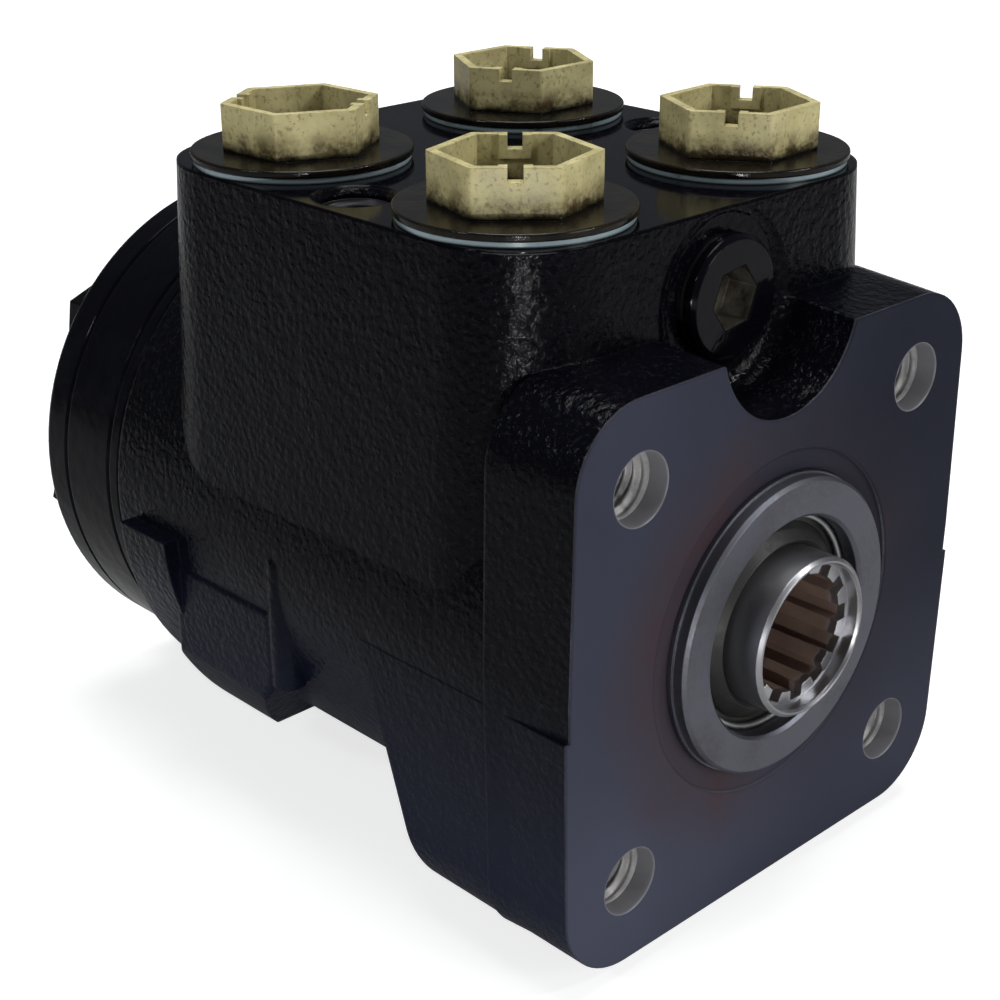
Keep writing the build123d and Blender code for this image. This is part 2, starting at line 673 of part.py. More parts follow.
# ------------------------------------------------------------------ port caps
def port_cap(name):
    """Screwed transport cap: a hollow hexagon head on a thin flange and a barrel."""
    x, y, turn = PORTS[name]
    flange_top = CAP_SEAT_Z + CAP_FLANGE_T
    inner_corner = CAP_HEX_CORNER_R - CAP_WALL / cos(radians(30))
    flange = post(CAP_FLANGE_R, CAP_SEAT_Z, flange_top, 0, 0)
    flange = fillet(flange.edges().filter_by(GeomType.CIRCLE), CAP_FLANGE_FILLET)
    outside = RegularPolygon(CAP_HEX_CORNER_R, 6)
    outside = fillet(outside.vertices(), CAP_HEX_FILLET)
    head = Pos(0, 0, flange_top) * extrude(outside, amount=CAP_HEX_H)
    hollow = Pos(0, 0, CAP_SEAT_Z + CAP_FLOOR_T) * extrude(
        RegularPolygon(inner_corner, 6), amount=CAP_HEX_H + 5
    )
    cap = flange + head - hollow
    wall_inside = CAP_HEX_CORNER_R * cos(radians(30)) - CAP_WALL
    for side in (0, 180):
        pad = box_at(
            wall_inside - CAP_PAD_T, wall_inside + CAP_WALL / 2,
            -CAP_PAD_W / 2, CAP_PAD_W / 2, CAP_TOP_Z - CAP_PAD_H, CAP_TOP_Z,
        )
        cap += Rot(0, 0, 30 + side) * pad
    reach = CAP_HEX_CORNER_R + 1
    slot = box_at(-reach, reach, -CAP_SLOT_W / 2, CAP_SLOT_W / 2,
                  CAP_TOP_Z - CAP_SLOT_DEPTH, CAP_TOP_Z + 1)
    cap -= Rot(0, 0, 30) * slot
    barrel_r = PORT_R - CAP_BARREL_CLEAR
    cap += post(barrel_r, CAP_SEAT_Z - CAP_BARREL_LEN, CAP_SEAT_Z, 0, 0)
    cap -= post(barrel_r - CAP_WALL, CAP_SEAT_Z - CAP_BARREL_LEN - 1, CAP_SEAT_Z, 0, 0)
    return Pos(x, y, 0) * Rot(0, 0, turn) * cap


def cap_washer(name):
    """Flat sealing washer under a cap's flange."""
    x, y, _ = PORTS[name]
    disc = post(CAP_FLANGE_R - CAP_WASHER_INSET, PORT_FACE_Z, CAP_SEAT_Z, x, y)
    return disc - post(PORT_R + CAP_WASHER_CLEAR, PORT_FACE_Z - 1, CAP_SEAT_Z + 1, x, y)


# ------------------------------------------------------------------ front seals
def gland_ring():
    """Steel ring that closes the seal pocket and pilots the column."""
    step = GLAND_BACK_Y - GLAND_LIP_T
    half = GLAND_CORD_R + CORD_PLAY
    groove = (GLAND_CORD_Y - half, GLAND_CORD_Y + half)
    floor = GLAND_R - 2 * GLAND_CORD_R
    return turned(
        (GLAND_BORE_R + EDGE_BREAK, -GLAND_PROUD), (PILOT_R - EDGE_BREAK, -GLAND_PROUD),
        (PILOT_R, -GLAND_PROUD + EDGE_BREAK), (PILOT_R, PILOT_END_Y), (GLAND_R, PILOT_END_Y),
        (GLAND_R, groove[0]), (floor, groove[0]),
        (floor, groove[1]), (GLAND_R, groove[1]), (GLAND_R, GLAND_BACK_Y),
        (GLAND_LIP_R, GLAND_BACK_Y), (GLAND_LIP_R, step), (GLAND_BORE_R, step),
        (GLAND_BORE_R, -GLAND_PROUD + EDGE_BREAK),
    )


def gland_cord():
    """Round seal in the gland ring's groove."""
    cord = GLAND_CORD_R - SEAL_FIT
    centre = GLAND_R - GLAND_CORD_R
    return Pos(0, GLAND_CORD_Y, 0) * Rot(90, 0, 0) * Torus(centre, cord)


def dust_seal():
    """Rubber wiper whose lip runs on the spool's nose."""
    back = GLAND_BACK_Y - GLAND_LIP_T
    front = back - DUST_SEAL_T
    lip = NOSE_R + SEAL_TOUCH
    outer = GLAND_BORE_R - SEAL_FIT
    web = outer - DUST_SEAL_WEB
    land_back, land_front = DUST_LIP_LAND
    return turned(
        (outer, back), (outer, front), (outer - DUST_SEAL_WALL, front),
        (lip + DUST_LIP_RISE, front - DUST_LIP_REACH), (lip, front - land_front),
        (lip, front - land_back), (web, back - DUST_SEAL_WEB_GAP), (web, back),
    )


def retaining_ring():
    """Round-wire ring that holds the dust seal in."""
    front = GLAND_BACK_Y - GLAND_LIP_T - DUST_SEAL_T
    centre = GLAND_BORE_R - RETAINER_WIRE_R - SEAL_FIT
    y = front - RETAINER_WIRE_R - SEAL_FIT
    return Pos(0, y, 0) * Rot(90, 0, 0) * Torus(centre, RETAINER_WIRE_R)


def shaft_seal():
    """Rubber ring that presses the glide ring on the nose."""
    front = GLAND_BACK_Y + SEAL_FIT
    return tube(SEAL_R, GLIDE_RING_R + SEAL_FIT, front, SEAL_BACK_Y - SEAL_FIT)


def glide_ring():
    """Hard-wearing ring that seals on the nose."""
    front = GLAND_BACK_Y + GLIDE_END_GAP
    return tube(GLIDE_RING_R, NOSE_R + SEAL_TOUCH, front, SEAL_BACK_Y - GLIDE_END_GAP)


# ------------------------------------------------------------------ thrust bearing
def race(y0):
    """Hardened washer of the thrust bearing."""
    return tube(RACE_OUTER_R, SHOULDER_BORE_R, y0 + FACE_GAP, y0 + RACE_T - FACE_GAP)


def needle_places():
    """Angles of the bearing's needles."""
    return [360 / NEEDLE_COUNT * i for i in range(NEEDLE_COUNT)]


def bearing_cage():
    """Cage with one window for each needle."""
    y0 = BEARING_SHOULDER_Y + RACE_T
    inset = CAGE_T / 4
    middle = (RACE_OUTER_R + SHOULDER_BORE_R) / 2
    outer = RACE_OUTER_R - CAGE_INSET
    cage = tube(outer, SHOULDER_BORE_R + CAGE_INSET, y0 + inset, y0 + CAGE_T - inset)
    half_len = NEEDLE_LEN / 2 + CAGE_WINDOW_PLAY
    half_w = CAGE_T / 2 + CAGE_WINDOW_PLAY / 2
    window = box_at(middle - half_len, middle + half_len, y0, y0 + CAGE_T, -half_w, half_w)
    for angle in needle_places():
        cage -= Rot(0, angle, 0) * window
    return cage


def bearing_needles():
    """Rollers lying radially between the races, as separate solids."""
    y = BEARING_SHOULDER_Y + RACE_T + CAGE_T / 2
    middle = (RACE_OUTER_R + SHOULDER_BORE_R) / 2
    needle = Pos(middle, y, 0) * Rot(0, 90, 0) * Cylinder(CAGE_T / 2 - NEEDLE_FIT, NEEDLE_LEN)
    return Compound(children=[Rot(0, angle, 0) * needle for angle in needle_places()])


# ------------------------------------------------------------------ spool and sleeve
def spool():
    """Inner valve member: splined nose, closed web, link bore, slots and lands."""
    front = -NOSE_PROUD
    body = turned(
        (0, front), (NOSE_R - EDGE_BREAK, front), (NOSE_R, front + EDGE_BREAK),
        (NOSE_R, NOSE_BACK_Y),
        (SPOOL_R, NOSE_BACK_Y), (SPOOL_R, SPOOL_BACK_Y), (0, SPOOL_BACK_Y),
    )
    spline_front = front + MOUTH_DEPTH
    body -= turned(
        (0, front - 1), (MOUTH_R + MOUTH_FLARE, front - 1),
        (MOUTH_R, front + MOUTH_FLARE_DEPTH),
        (MOUTH_R, spline_front), (0, spline_front),
    )
    body -= spline_space(SPLINE_TEETH, SPLINE_MAJOR_R, SPLINE_MINOR_R, SPLINE_SPACE_SHARE,
                         spline_front - SPLINE_RUN_IN, WEB_FRONT_Y)
    body -= rod(SPOOL_BORE_R, WEB_BACK_Y, SPOOL_BACK_Y + 1)
    lead = SPOOL_R * sin(radians(SPOOL_LEAD_DEG))
    slot_half = SPRING_SLOT_HALF + lead
    slot_y = LEAF_W / 2 + LEAF_SLOT_PLAY
    body -= box_at(-SLEEVE_R, SLEEVE_R, SPRING_Y - slot_y, SPRING_Y + slot_y,
                   -slot_half, slot_half)
    body -= across_rod(PIN_R + lead + PIN_SWING_CLEAR, -SLEEVE_R, SLEEVE_R, PIN_Y, 0)
    for i in range(SPOOL_GROOVES):
        groove = rod(SPOOL_GROOVE_R, SPOOL_GROOVE_Y, SPOOL_GROOVE_Y + SPOOL_GROOVE_LEN,
                     SPOOL_R + SPOOL_GROOVE_R / 2)
        body -= Rot(0, 360 / SPOOL_GROOVES * (i + 0.5), 0) * groove
    return body


def sleeve():
    """Outer valve member: rows of oil holes, pin bore, spring slots and ring groove."""
    body = tube(SLEEVE_R, SPOOL_R + RUNNING_FIT, SLEEVE_FRONT_Y, SLEEVE_BACK_Y)
    half = (LEAF_W + LEAF_SLOT_PLAY) / 2
    across = SLEEVE_R + 1
    band = half + SPRING_RING_EXTRA
    floor = SLEEVE_R - SPRING_RING_T - SPRING_RING_SINK
    body -= box_at(-across, across, SPRING_Y - half, SPRING_Y + half,
                   -SPRING_SLOT_HALF, SPRING_SLOT_HALF)
    body -= tube(across, floor, SPRING_Y - band, SPRING_Y + band)
    body -= across_rod(PIN_R + PIN_FIT, -across, across, PIN_Y, 0)
    for row, y in enumerate(SLEEVE_ROWS):
        hole = across_rod(SLEEVE_HOLE_R, SPOOL_R - 1, across, y, 0)
        for i in range(SLEEVE_HOLES):
            body -= Rot(0, 360 / SLEEVE_HOLES * (i + row / 2), 0) * hole
    return body


def cross_pin():
    """Pin through sleeve, spool and drive link."""
    pin = Cylinder(PIN_R, 2 * (SLEEVE_R - PIN_END_INSET))
    pin = chamfer(pin.edges().filter_by(GeomType.CIRCLE), PIN_CHAMFER)
    return Pos(0, PIN_Y, 0) * Rot(0, 90, 0) * pin


def leaf(level, bow):
    """Leaf spring across the valve; bow lifts its ends."""
    reach = SLEEVE_R - SPRING_RING_T - LEAF_END_CLEAR
    low = [(-reach, level + bow), (0, level), (reach, level + bow)]
    high = [(x, z + LEAF_T) for x, z in low]
    if bow:
        lines = [ThreePointArc(*low), ThreePointArc(*high)]
    else:
        lines = [Line(low[0], low[2]), Line(high[0], high[2])]
    ends = [Line(low[0], high[0]), Line(low[2], high[2])]
    face = make_face(lines + ends)
    return slab(face, SPRING_Y - LEAF_W / 2, SPRING_Y + LEAF_W / 2)


def leaf_springs():
    """Two flat leaves back to back with two bowed leaves on each side."""
    step = LEAF_T + LEAF_GAP
    levels = [LEAF_GAP / 2 + step * i for i in range(3)]
    named = {}
    for side, label in ((1, "upper"), (-1, "lower")):
        for i, level in enumerate(levels):
            bow = LEAF_BOW if i else 0.0
            piece = leaf(level, bow)
            if side < 0:
                piece = Rot(0, 180, 0) * piece
            kind = "flat" if i == 0 else f"bowed_{i}"
            named[f"leaf_{label}_{kind}"] = piece
    return named


def spring_ring():
    """Band that keeps the leaves from sliding out."""
    half = LEAF_W / 2 + SPRING_RING_EXTRA
    outer = SLEEVE_R - SPRING_RING_SINK
    return tube(outer, SLEEVE_R - SPRING_RING_T, SPRING_Y - half, SPRING_Y + half)


# ------------------------------------------------------------------ orbiting gear set
def star_outline():
    """Inner parallel of the curve that the lobe centres trace around the star."""
    inset = LOBE_R + GEAR_CLEAR
    steps = STAR_TEETH * STAR_POINTS_PER_TOOTH
    points = []
    for i in range(steps):
        t = 2 * pi * i / steps
        x = LOBE_CENTRE_R * cos(t) + ORBIT * cos(RING_LOBES * t)
        z = LOBE_CENTRE_R * sin(t) + ORBIT * sin(RING_LOBES * t)
        dx = -LOBE_CENTRE_R * sin(t) - RING_LOBES * ORBIT * sin(RING_LOBES * t)
        dz = LOBE_CENTRE_R * cos(t) + RING_LOBES * ORBIT * cos(RING_LOBES * t)
        speed = hypot(dx, dz)
        points.append((x - inset * dz / speed, z + inset * dx / speed))
    return make_face(Spline(*points, periodic=True))


def gerotor_star():
    """Six-tooth rotor, splined on the drive link."""
    y0 = PLATE_BACK_Y + STAR_SIDE_CLEAR
    y1 = RING_BACK_Y - STAR_SIDE_CLEAR
    star = Rot(0, -STAR_PHASE, 0) * slab(star_outline(), y0, y1)
    star -= spline_space(SPLINE_TEETH, STAR_SPLINE_R, STAR_SPLINE_MINOR_R, STAR_SPACE_SHARE,
                         y0 - 1, y1 + 1)
    return Pos(ORBIT, 0, 0) * star


def stack_disc(y0, y1):
    """Plate of the rear stack with chamfered edges and clearance holes."""
    disc = rod(STACK_R, y0, y1)
    disc = chamfer(disc.edges().filter_by(GeomType.CIRCLE), JOINT_CHAMFER)
    for angle in screw_angles():
        x, z = polar(SCREW_CIRCLE_R, angle)
        disc -= rod(SCREW_R + SCREW_CLEAR, y0 - 1, y1 + 1, x, z)
    return disc


def spacer_plate():
    """Plate between housing and gear set, with a timing hole for each chamber."""
    plate = stack_disc(HOUSING_LEN, PLATE_BACK_Y)
    plate -= rod(PLATE_BORE_R, HOUSING_LEN - 1, PLATE_BACK_Y + 1)
    for cut in timing_holes(HOUSING_LEN - 1, PLATE_BACK_Y + 1):
        plate -= cut
    return plate - cord_groove(PLATE_BACK_Y)


def gerotor_ring():
    """Outer ring of the gear set with seven round lobes."""
    ring = stack_disc(PLATE_BACK_Y, RING_BACK_Y)
    cavity = Circle(CAVITY_R)
    for angle in screw_angles():
        x, z = polar(LOBE_CENTRE_R, angle)
        cavity -= Pos(x, z) * Circle(LOBE_R)
    ring -= slab(cavity, PLATE_BACK_Y - 1, RING_BACK_Y + 1)
    return ring - cord_groove(RING_BACK_Y)


def end_cover():
    """Plain cover that closes the gear set."""
    cover = rod(STACK_R, RING_BACK_Y, COVER_BACK_Y)
    rims = cover.edges().filter_by(GeomType.CIRCLE).sort_by(Axis.Y)
    cover = fillet(rims[-1:], COVER_EDGE_R)
    front = cover.edges().filter_by(GeomType.CIRCLE).sort_by(Axis.Y)[:1]
    cover = chamfer(front, JOINT_CHAMFER)
    for angle in screw_angles():
        x, z = polar(SCREW_CIRCLE_R, angle)
        cover -= rod(SCREW_R + SCREW_CLEAR, RING_BACK_Y - 1, COVER_BACK_Y + 1, x, z)
    return cover


def joint_cord(y_face):
    """Round seal lying in the groove of a stacked face."""
    cord = CORD_DEPTH / 2 - FACE_GAP
    y = y_face - CORD_DEPTH / 2
    return Pos(0, y, 0) * Rot(90, 0, 0) * Torus(CORD_CIRCLE_R, cord)


def crowned_spline(y_mid, width):
    """Barrel-shaped splined head, so that the link can tilt in the star."""
    half_w = width / 2
    crown = make_face([
        ThreePointArc(
            (LINK_HEAD_R - LINK_CROWN, y_mid - half_w), (LINK_HEAD_R, y_mid),
            (LINK_HEAD_R - LINK_CROWN, y_mid + half_w),
        ),
        Polyline((LINK_HEAD_R - LINK_CROWN, y_mid + half_w), (0, y_mid + half_w),
                 (0, y_mid - half_w), (LINK_HEAD_R - LINK_CROWN, y_mid - half_w)),
    ])
    barrel = revolve(crown, axis=Axis.Y)
    tooth_half = STAR_SPACE_SHARE * pi / SPLINE_TEETH
    trim = LINK_SPLINE_CLEAR / LINK_HEAD_R
    inner = LINK_ROOT_R - SPACE_OVERLAP
    outer = STAR_SPLINE_R
    points = [(inner * cos(a), inner * sin(a)) for a in (-tooth_half, tooth_half)]
    points += [(outer * cos(a), outer * sin(a))
               for a in (tooth_half * SPACE_ROOT - trim, trim - tooth_half * SPACE_ROOT)]
    tooth = slab(make_face(Polyline(*points, close=True)), y_mid - half_w, y_mid + half_w)
    gear = rod(LINK_ROOT_R, y_mid - half_w, y_mid + half_w)
    for i in range(SPLINE_TEETH):
        gear += Rot(0, 360 / SPLINE_TEETH * i, 0) * tooth
    return gear & barrel


def drive_link():
    """Cardan link: slotted fork on the cross pin, splined head in the star."""
    fork_front = PIN_Y - LINK_FORK_FRONT
    fork_back = PIN_Y + LINK_FORK_BACK
    rear = RING_BACK_Y - SPACER_LEN - LINK_END_GAP
    width = rear - (PLATE_BACK_Y + LINK_FRONT_GAP)
    link = rod(LINK_HEAD_R, fork_front, fork_back)
    link = fillet(link.edges().filter_by(GeomType.CIRCLE), LINK_HEAD_FILLET)
    link += rod(LINK_SHAFT_R, fork_back - 2, rear - width / 2)
    link += crowned_spline(rear - width / 2, width)
    half = PIN_R + LINK_SLOT_CLEAR
    across = LINK_HEAD_R + 1
    link -= box_at(-across, across, fork_front - 1, PIN_Y, -half, half)
    link -= across_rod(half, -across, across, PIN_Y, 0)
    return Pos(0, PIN_Y, 0) * Rot(0, 0, -LINK_TILT) * Pos(0, -PIN_Y, 0) * link


def drive_spacer():
    """Small plug in the star's bore that keeps the link off the cover."""
    y1 = RING_BACK_Y - STAR_SIDE_CLEAR
    return rod(STAR_SPLINE_MINOR_R - SPACER_CLEAR, y1 - SPACER_LEN, y1, ORBIT)


# ------------------------------------------------------------------ cover screws
def cover_screw(angle, head_h):
    """Hexagon screw through cover, ring and plate into the housing."""
    x, z = polar(SCREW_CIRCLE_R, angle)
    seat = COVER_BACK_Y + WASHER_T
    head = hex_bar(SCREW_HEX_AF, seat, seat + head_h, turn=angle)
    head = chamfer(head.faces().sort_by(Axis.Y)[-1].edges(), EDGE_BREAK)
    shank = rod(SCREW_R, HOUSING_LEN - SCREW_GRIP_IN_HOUSING, seat)
    return Pos(x, 0, z) * (head + shank)


def cover_screws():
    """Six equal screws as separate solids."""
    places = [a for i, a in enumerate(screw_angles()) if i != PIN_SCREW_INDEX]
    return Compound(children=[cover_screw(a, SCREW_HEAD_H) for a in places])


def pin_screw():
    """The one screw that also locates the stack, with a taller head."""
    return cover_screw(screw_angles()[PIN_SCREW_INDEX], PIN_SCREW_HEAD_H)


def screw_washers():
    """Seven washers as separate solids."""
    rings = []
    for angle in screw_angles():
        x, z = polar(SCREW_CIRCLE_R, angle)
        bore = SCREW_R + WASHER_CLEAR
        rings.append(tube(WASHER_R, bore, COVER_BACK_Y, COVER_BACK_Y + WASHER_T, x, z))
    return Compound(children=rings)


# ------------------------------------------------------------------ all pieces
def pieces():
    """Every node by name."""
    named = {
        "housing": housing(),
        "relief_plug": relief_plug(),
        "relief_ring": relief_ring(),
        "relief_poppet": relief_poppet(),
        "relief_spring": relief_spring(),
        "check_bush": check_bush(),
        "check_ball": check_ball(),
        "gland_ring": gland_ring(),
        "gland_cord": gland_cord(),
        "dust_seal": dust_seal(),
        "retaining_ring": retaining_ring(),
        "shaft_seal": shaft_seal(),
        "glide_ring": glide_ring(),
        "front_race": race(BEARING_SHOULDER_Y),
        "bearing_cage": bearing_cage(),
        "bearing_needles": bearing_needles(),
        "rear_race": race(BEARING_SHOULDER_Y + RACE_T + CAGE_T),
        "spool": spool(),
        "sleeve": sleeve(),
        "cross_pin": cross_pin(),
        "spring_ring": spring_ring(),
        "drive_link": drive_link(),
        "spacer_plate": spacer_plate(),
        "gerotor_ring": gerotor_ring(),
        "gerotor_star": gerotor_star(),
        "drive_spacer": drive_spacer(),
        "end_cover": end_cover(),
        "housing_cord": joint_cord(HOUSING_LEN),
        "plate_cord": joint_cord(PLATE_BACK_Y),
        "ring_cord": joint_cord(RING_BACK_Y),
        "cover_screws": cover_screws(),
        "pin_screw": pin_screw(),
        "screw_washers": screw_washers(),
    }
    named.update(leaf_springs())
    for name in PORTS:
        named[f"port_cap_{name}"] = port_cap(name)
        named[f"cap_washer_{name}"] = cap_washer(name)
    return named


os.makedirs("parts", exist_ok=True)
for node, solid in pieces().items():
    export_step(solid, f"parts/{node}.step")
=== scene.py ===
# %% [markdown]
# # Orbital steering unit
# A cast, gloss-black housing with a machined flange in front, four plastic transport caps on
# top and a round gear stack behind.  The solids come from the CAD frame, so this notebook adds
# what a solid can't carry: threads, paint, cast skin, tool marks, rust and oil.

from math import pi, radians

import bpy
import numpy as np
from mathutils import Matrix, Vector


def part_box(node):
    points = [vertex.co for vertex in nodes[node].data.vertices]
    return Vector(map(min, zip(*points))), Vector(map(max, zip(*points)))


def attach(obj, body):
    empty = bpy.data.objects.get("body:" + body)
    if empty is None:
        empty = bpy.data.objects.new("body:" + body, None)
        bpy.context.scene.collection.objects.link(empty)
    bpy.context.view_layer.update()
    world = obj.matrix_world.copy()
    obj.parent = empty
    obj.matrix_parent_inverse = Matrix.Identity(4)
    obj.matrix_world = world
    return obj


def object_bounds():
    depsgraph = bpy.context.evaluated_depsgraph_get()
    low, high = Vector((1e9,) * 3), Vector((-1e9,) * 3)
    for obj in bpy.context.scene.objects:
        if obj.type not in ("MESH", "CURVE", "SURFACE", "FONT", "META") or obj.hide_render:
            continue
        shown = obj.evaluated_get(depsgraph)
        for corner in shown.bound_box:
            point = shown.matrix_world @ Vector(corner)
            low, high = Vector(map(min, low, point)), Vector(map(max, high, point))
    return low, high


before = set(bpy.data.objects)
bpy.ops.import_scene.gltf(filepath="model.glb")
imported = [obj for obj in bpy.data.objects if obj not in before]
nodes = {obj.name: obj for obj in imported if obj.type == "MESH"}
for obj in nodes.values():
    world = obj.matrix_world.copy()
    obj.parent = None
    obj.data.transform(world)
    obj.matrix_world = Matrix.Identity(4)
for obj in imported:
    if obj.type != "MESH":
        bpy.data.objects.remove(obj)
cad_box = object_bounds()
MM = 0.001
print(len(nodes), "nodes from the frame")

# %% [markdown]
# The camera stands left of the flange, a little above it, and looks down at the valve axis.
# A long lens keeps the sides nearly parallel.  The shift is only what the framing needs.

# %% Camera
CAMERA_AT = (-187.60 * MM, -140.59 * MM, 120.52 * MM)
CAMERA_YAW = 43.87
CAMERA_PITCH = -24.69
CAMERA_ROLL = -0.18
FOCAL_SHARE = 1.85883
SENSOR_WIDTH = 36.0
SHIFT_X = -0.00603
SHIFT_Y = 0.03218

camera_data = bpy.data.cameras.new("camera")
camera_data.sensor_width = SENSOR_WIDTH
camera_data.lens = SENSOR_WIDTH * FOCAL_SHARE
camera_data.shift_x = SHIFT_X
camera_data.shift_y = SHIFT_Y
camera_data.clip_start = 10 * MM
camera = bpy.data.objects.new("camera", camera_data)
bpy.context.scene.collection.objects.link(camera)
turn = Matrix.Rotation(radians(-CAMERA_YAW), 4, "Z")
tilt = Matrix.Rotation(radians(90 + CAMERA_PITCH), 4, "X")
roll = Matrix.Rotation(radians(CAMERA_ROLL), 4, "Z")
camera.matrix_world = Matrix.Translation(CAMERA_AT) @ turn @ tilt @ roll
bpy.context.scene.camera = camera
print("lens", round(camera_data.lens, 1), "mm")

# %% [markdown]
# A shader is a small graph.  These helpers keep each later cell to a few readable lines: one
# adds a node, one does sums on sockets, one makes a soft step between two values, and one
# mixes two colours by a mask.

# %% Shader helpers
EDGE_SAMPLES = 6


def add(tree, kind, **settings):
    """Adds a node and sets its properties by name."""
    node = tree.nodes.new(kind)
    for key, value in settings.items():
        setattr(node, key, value)
    return node


def feed(tree, socket, value):
    """Gives a socket either a link from another socket or a plain value."""
    if isinstance(value, bpy.types.NodeSocket):
        tree.links.new(value, socket)
    else:
        socket.default_value = value


def calc(tree, operation, *values, clamp=False):
    """A Math node of one, two or three values; returns its result."""
    node = add(tree, "ShaderNodeMath", operation=operation, use_clamp=clamp)
    for socket, value in zip(node.inputs, values):
        feed(tree, socket, value)
    return node.outputs[0]


def step(tree, value, low, high):
    """Rises smoothly from 0 at low to 1 at high; falls if low is the larger."""
    node = add(tree, "ShaderNodeMapRange", interpolation_type="SMOOTHSTEP")
    feed(tree, node.inputs["Value"], value)
    if low < high:
        limits = (low, high, 0.0, 1.0)
    else:
        limits = (high, low, 1.0, 0.0)
    for socket, limit in zip(node.inputs[1:5], limits):
        socket.default_value = limit
    return node.outputs[0]


def mix(tree, mask, first, second):
    """Colour first where the mask is 0, colour second where it is 1."""
    node = add(tree, "ShaderNodeMix", data_type="RGBA")
    feed(tree, node.inputs[0], mask)
    for socket, colour in ((node.inputs[6], first), (node.inputs[7], second)):
        linked = isinstance(colour, bpy.types.NodeSocket)
        feed(tree, socket, colour if linked else (*colour, 1))
    return node.outputs[2]


def blend_values(tree, mask, first, second):
    """Number first where the mask is 0, number second where it is 1."""
    node = add(tree, "ShaderNodeMix", data_type="FLOAT")
    feed(tree, node.inputs[0], mask)
    feed(tree, node.inputs[2], first)
    feed(tree, node.inputs[3], second)
    return node.outputs[0]


def noise(tree, place, scale, detail=3.0, rough=0.55, output=0):
    """Noise texture on a position; scale is in features per metre, output 1 is a colour."""
    node = add(tree, "ShaderNodeTexNoise")
    feed(tree, node.inputs["Vector"], place)
    node.inputs["Scale"].default_value = scale
    node.inputs["Detail"].default_value = detail
    node.inputs["Roughness"].default_value = rough
    return node.outputs[output]


def bare_material(name):
    """A new material with its tree, its Principled shader and the object position."""
    material = bpy.data.materials.new(name)
    material.use_nodes = True
    tree = material.node_tree
    place = add(tree, "ShaderNodeTexCoord").outputs["Object"]
    return material, tree, tree.nodes["Principled BSDF"], place


def dress(material, *names):
    """Gives CAD nodes one material."""
    for name in names:
        mesh = nodes[name].data
        mesh.materials.clear()
        mesh.materials.append(material)


def bump(tree, height, depth_mm, into=None):
    """Bump node whose height of 1 stands depth_mm tall; returns its normal."""
    node = add(tree, "ShaderNodeBump")
    node.inputs["Strength"].default_value = 1.0
    node.inputs["Distance"].default_value = depth_mm * MM
    feed(tree, node.inputs["Height"], height)
    if into is not None:
        feed(tree, node.inputs["Normal"], into)
    return node.outputs[0]


def soft_edges(tree, radius_mm):
    """Normal that runs round each edge, as a small radius would."""
    node = add(tree, "ShaderNodeBevel", samples=EDGE_SAMPLES)
    node.inputs["Radius"].default_value = radius_mm * MM
    return node.outputs[0]


print("helpers ready")

# %% [markdown]
# Effects that several finishes share are node groups: build once, place many times.
# * `cast_skin` is the leathery skin of thick paint on a sand casting: round lumps about a
#   millimetre wide, with fine grit on them.
# * `turned_marks` are the rings a lathe tool leaves about an axis.
# * `grime` is a blotchy mask for dirt, rust and oil.

# %% Node groups
def new_group(name, inputs, outputs):
    """Empty shader group with float or vector sockets; returns tree, input, output."""
    tree = bpy.data.node_groups.new(name, "ShaderNodeTree")
    for socket, kind, default in inputs:
        made = tree.interface.new_socket(name=socket, in_out="INPUT", socket_type=kind)
        if default is not None:
            made.default_value = default
    for socket, kind in outputs:
        tree.interface.new_socket(name=socket, in_out="OUTPUT", socket_type=kind)
    return tree, add(tree, "NodeGroupInput"), add(tree, "NodeGroupOutput")


LUMP_WARP = 1.2
SWELL_SHARE = 1.4


def cast_skin_group():
    """Height of lumps (smooth Voronoi cells) plus slow swells and fine grit."""
    tree, given, result = new_group(
        "cast_skin",
        [("Position", "NodeSocketVector", None), ("Lumps per metre", "NodeSocketFloat", 650.0),
         ("Grit", "NodeSocketFloat", 0.25)],
        [("Height", "NodeSocketFloat"), ("Grain", "NodeSocketFloat")],
    )
    place = given.outputs["Position"]
    warp = noise(tree, place, 380.0, 2.0, 0.5, output=1)
    shift = add(tree, "ShaderNodeVectorMath", operation="MULTIPLY_ADD")
    feed(tree, shift.inputs[0], warp)
    shift.inputs[1].default_value = 3 * (LUMP_WARP * MM,)
    feed(tree, shift.inputs[2], place)
    cells = add(tree, "ShaderNodeTexVoronoi", feature="SMOOTH_F1")
    feed(tree, cells.inputs["Vector"], shift.outputs[0])
    feed(tree, cells.inputs["Scale"], given.outputs["Lumps per metre"])
    cells.inputs["Smoothness"].default_value = 0.6
    lumps = calc(tree, "SUBTRACT", 1.0, cells.outputs["Distance"])
    swell = noise(tree, place, 140.0, 3.0, 0.5)
    fine = noise(tree, place, 2600.0, 2.0, 0.6)
    height = calc(tree, "MULTIPLY_ADD", swell, SWELL_SHARE, lumps)
    height = calc(tree, "MULTIPLY_ADD", fine, given.outputs["Grit"], height)
    feed(tree, result.inputs["Height"], height)
    feed(tree, result.inputs["Grain"], fine)
    return tree


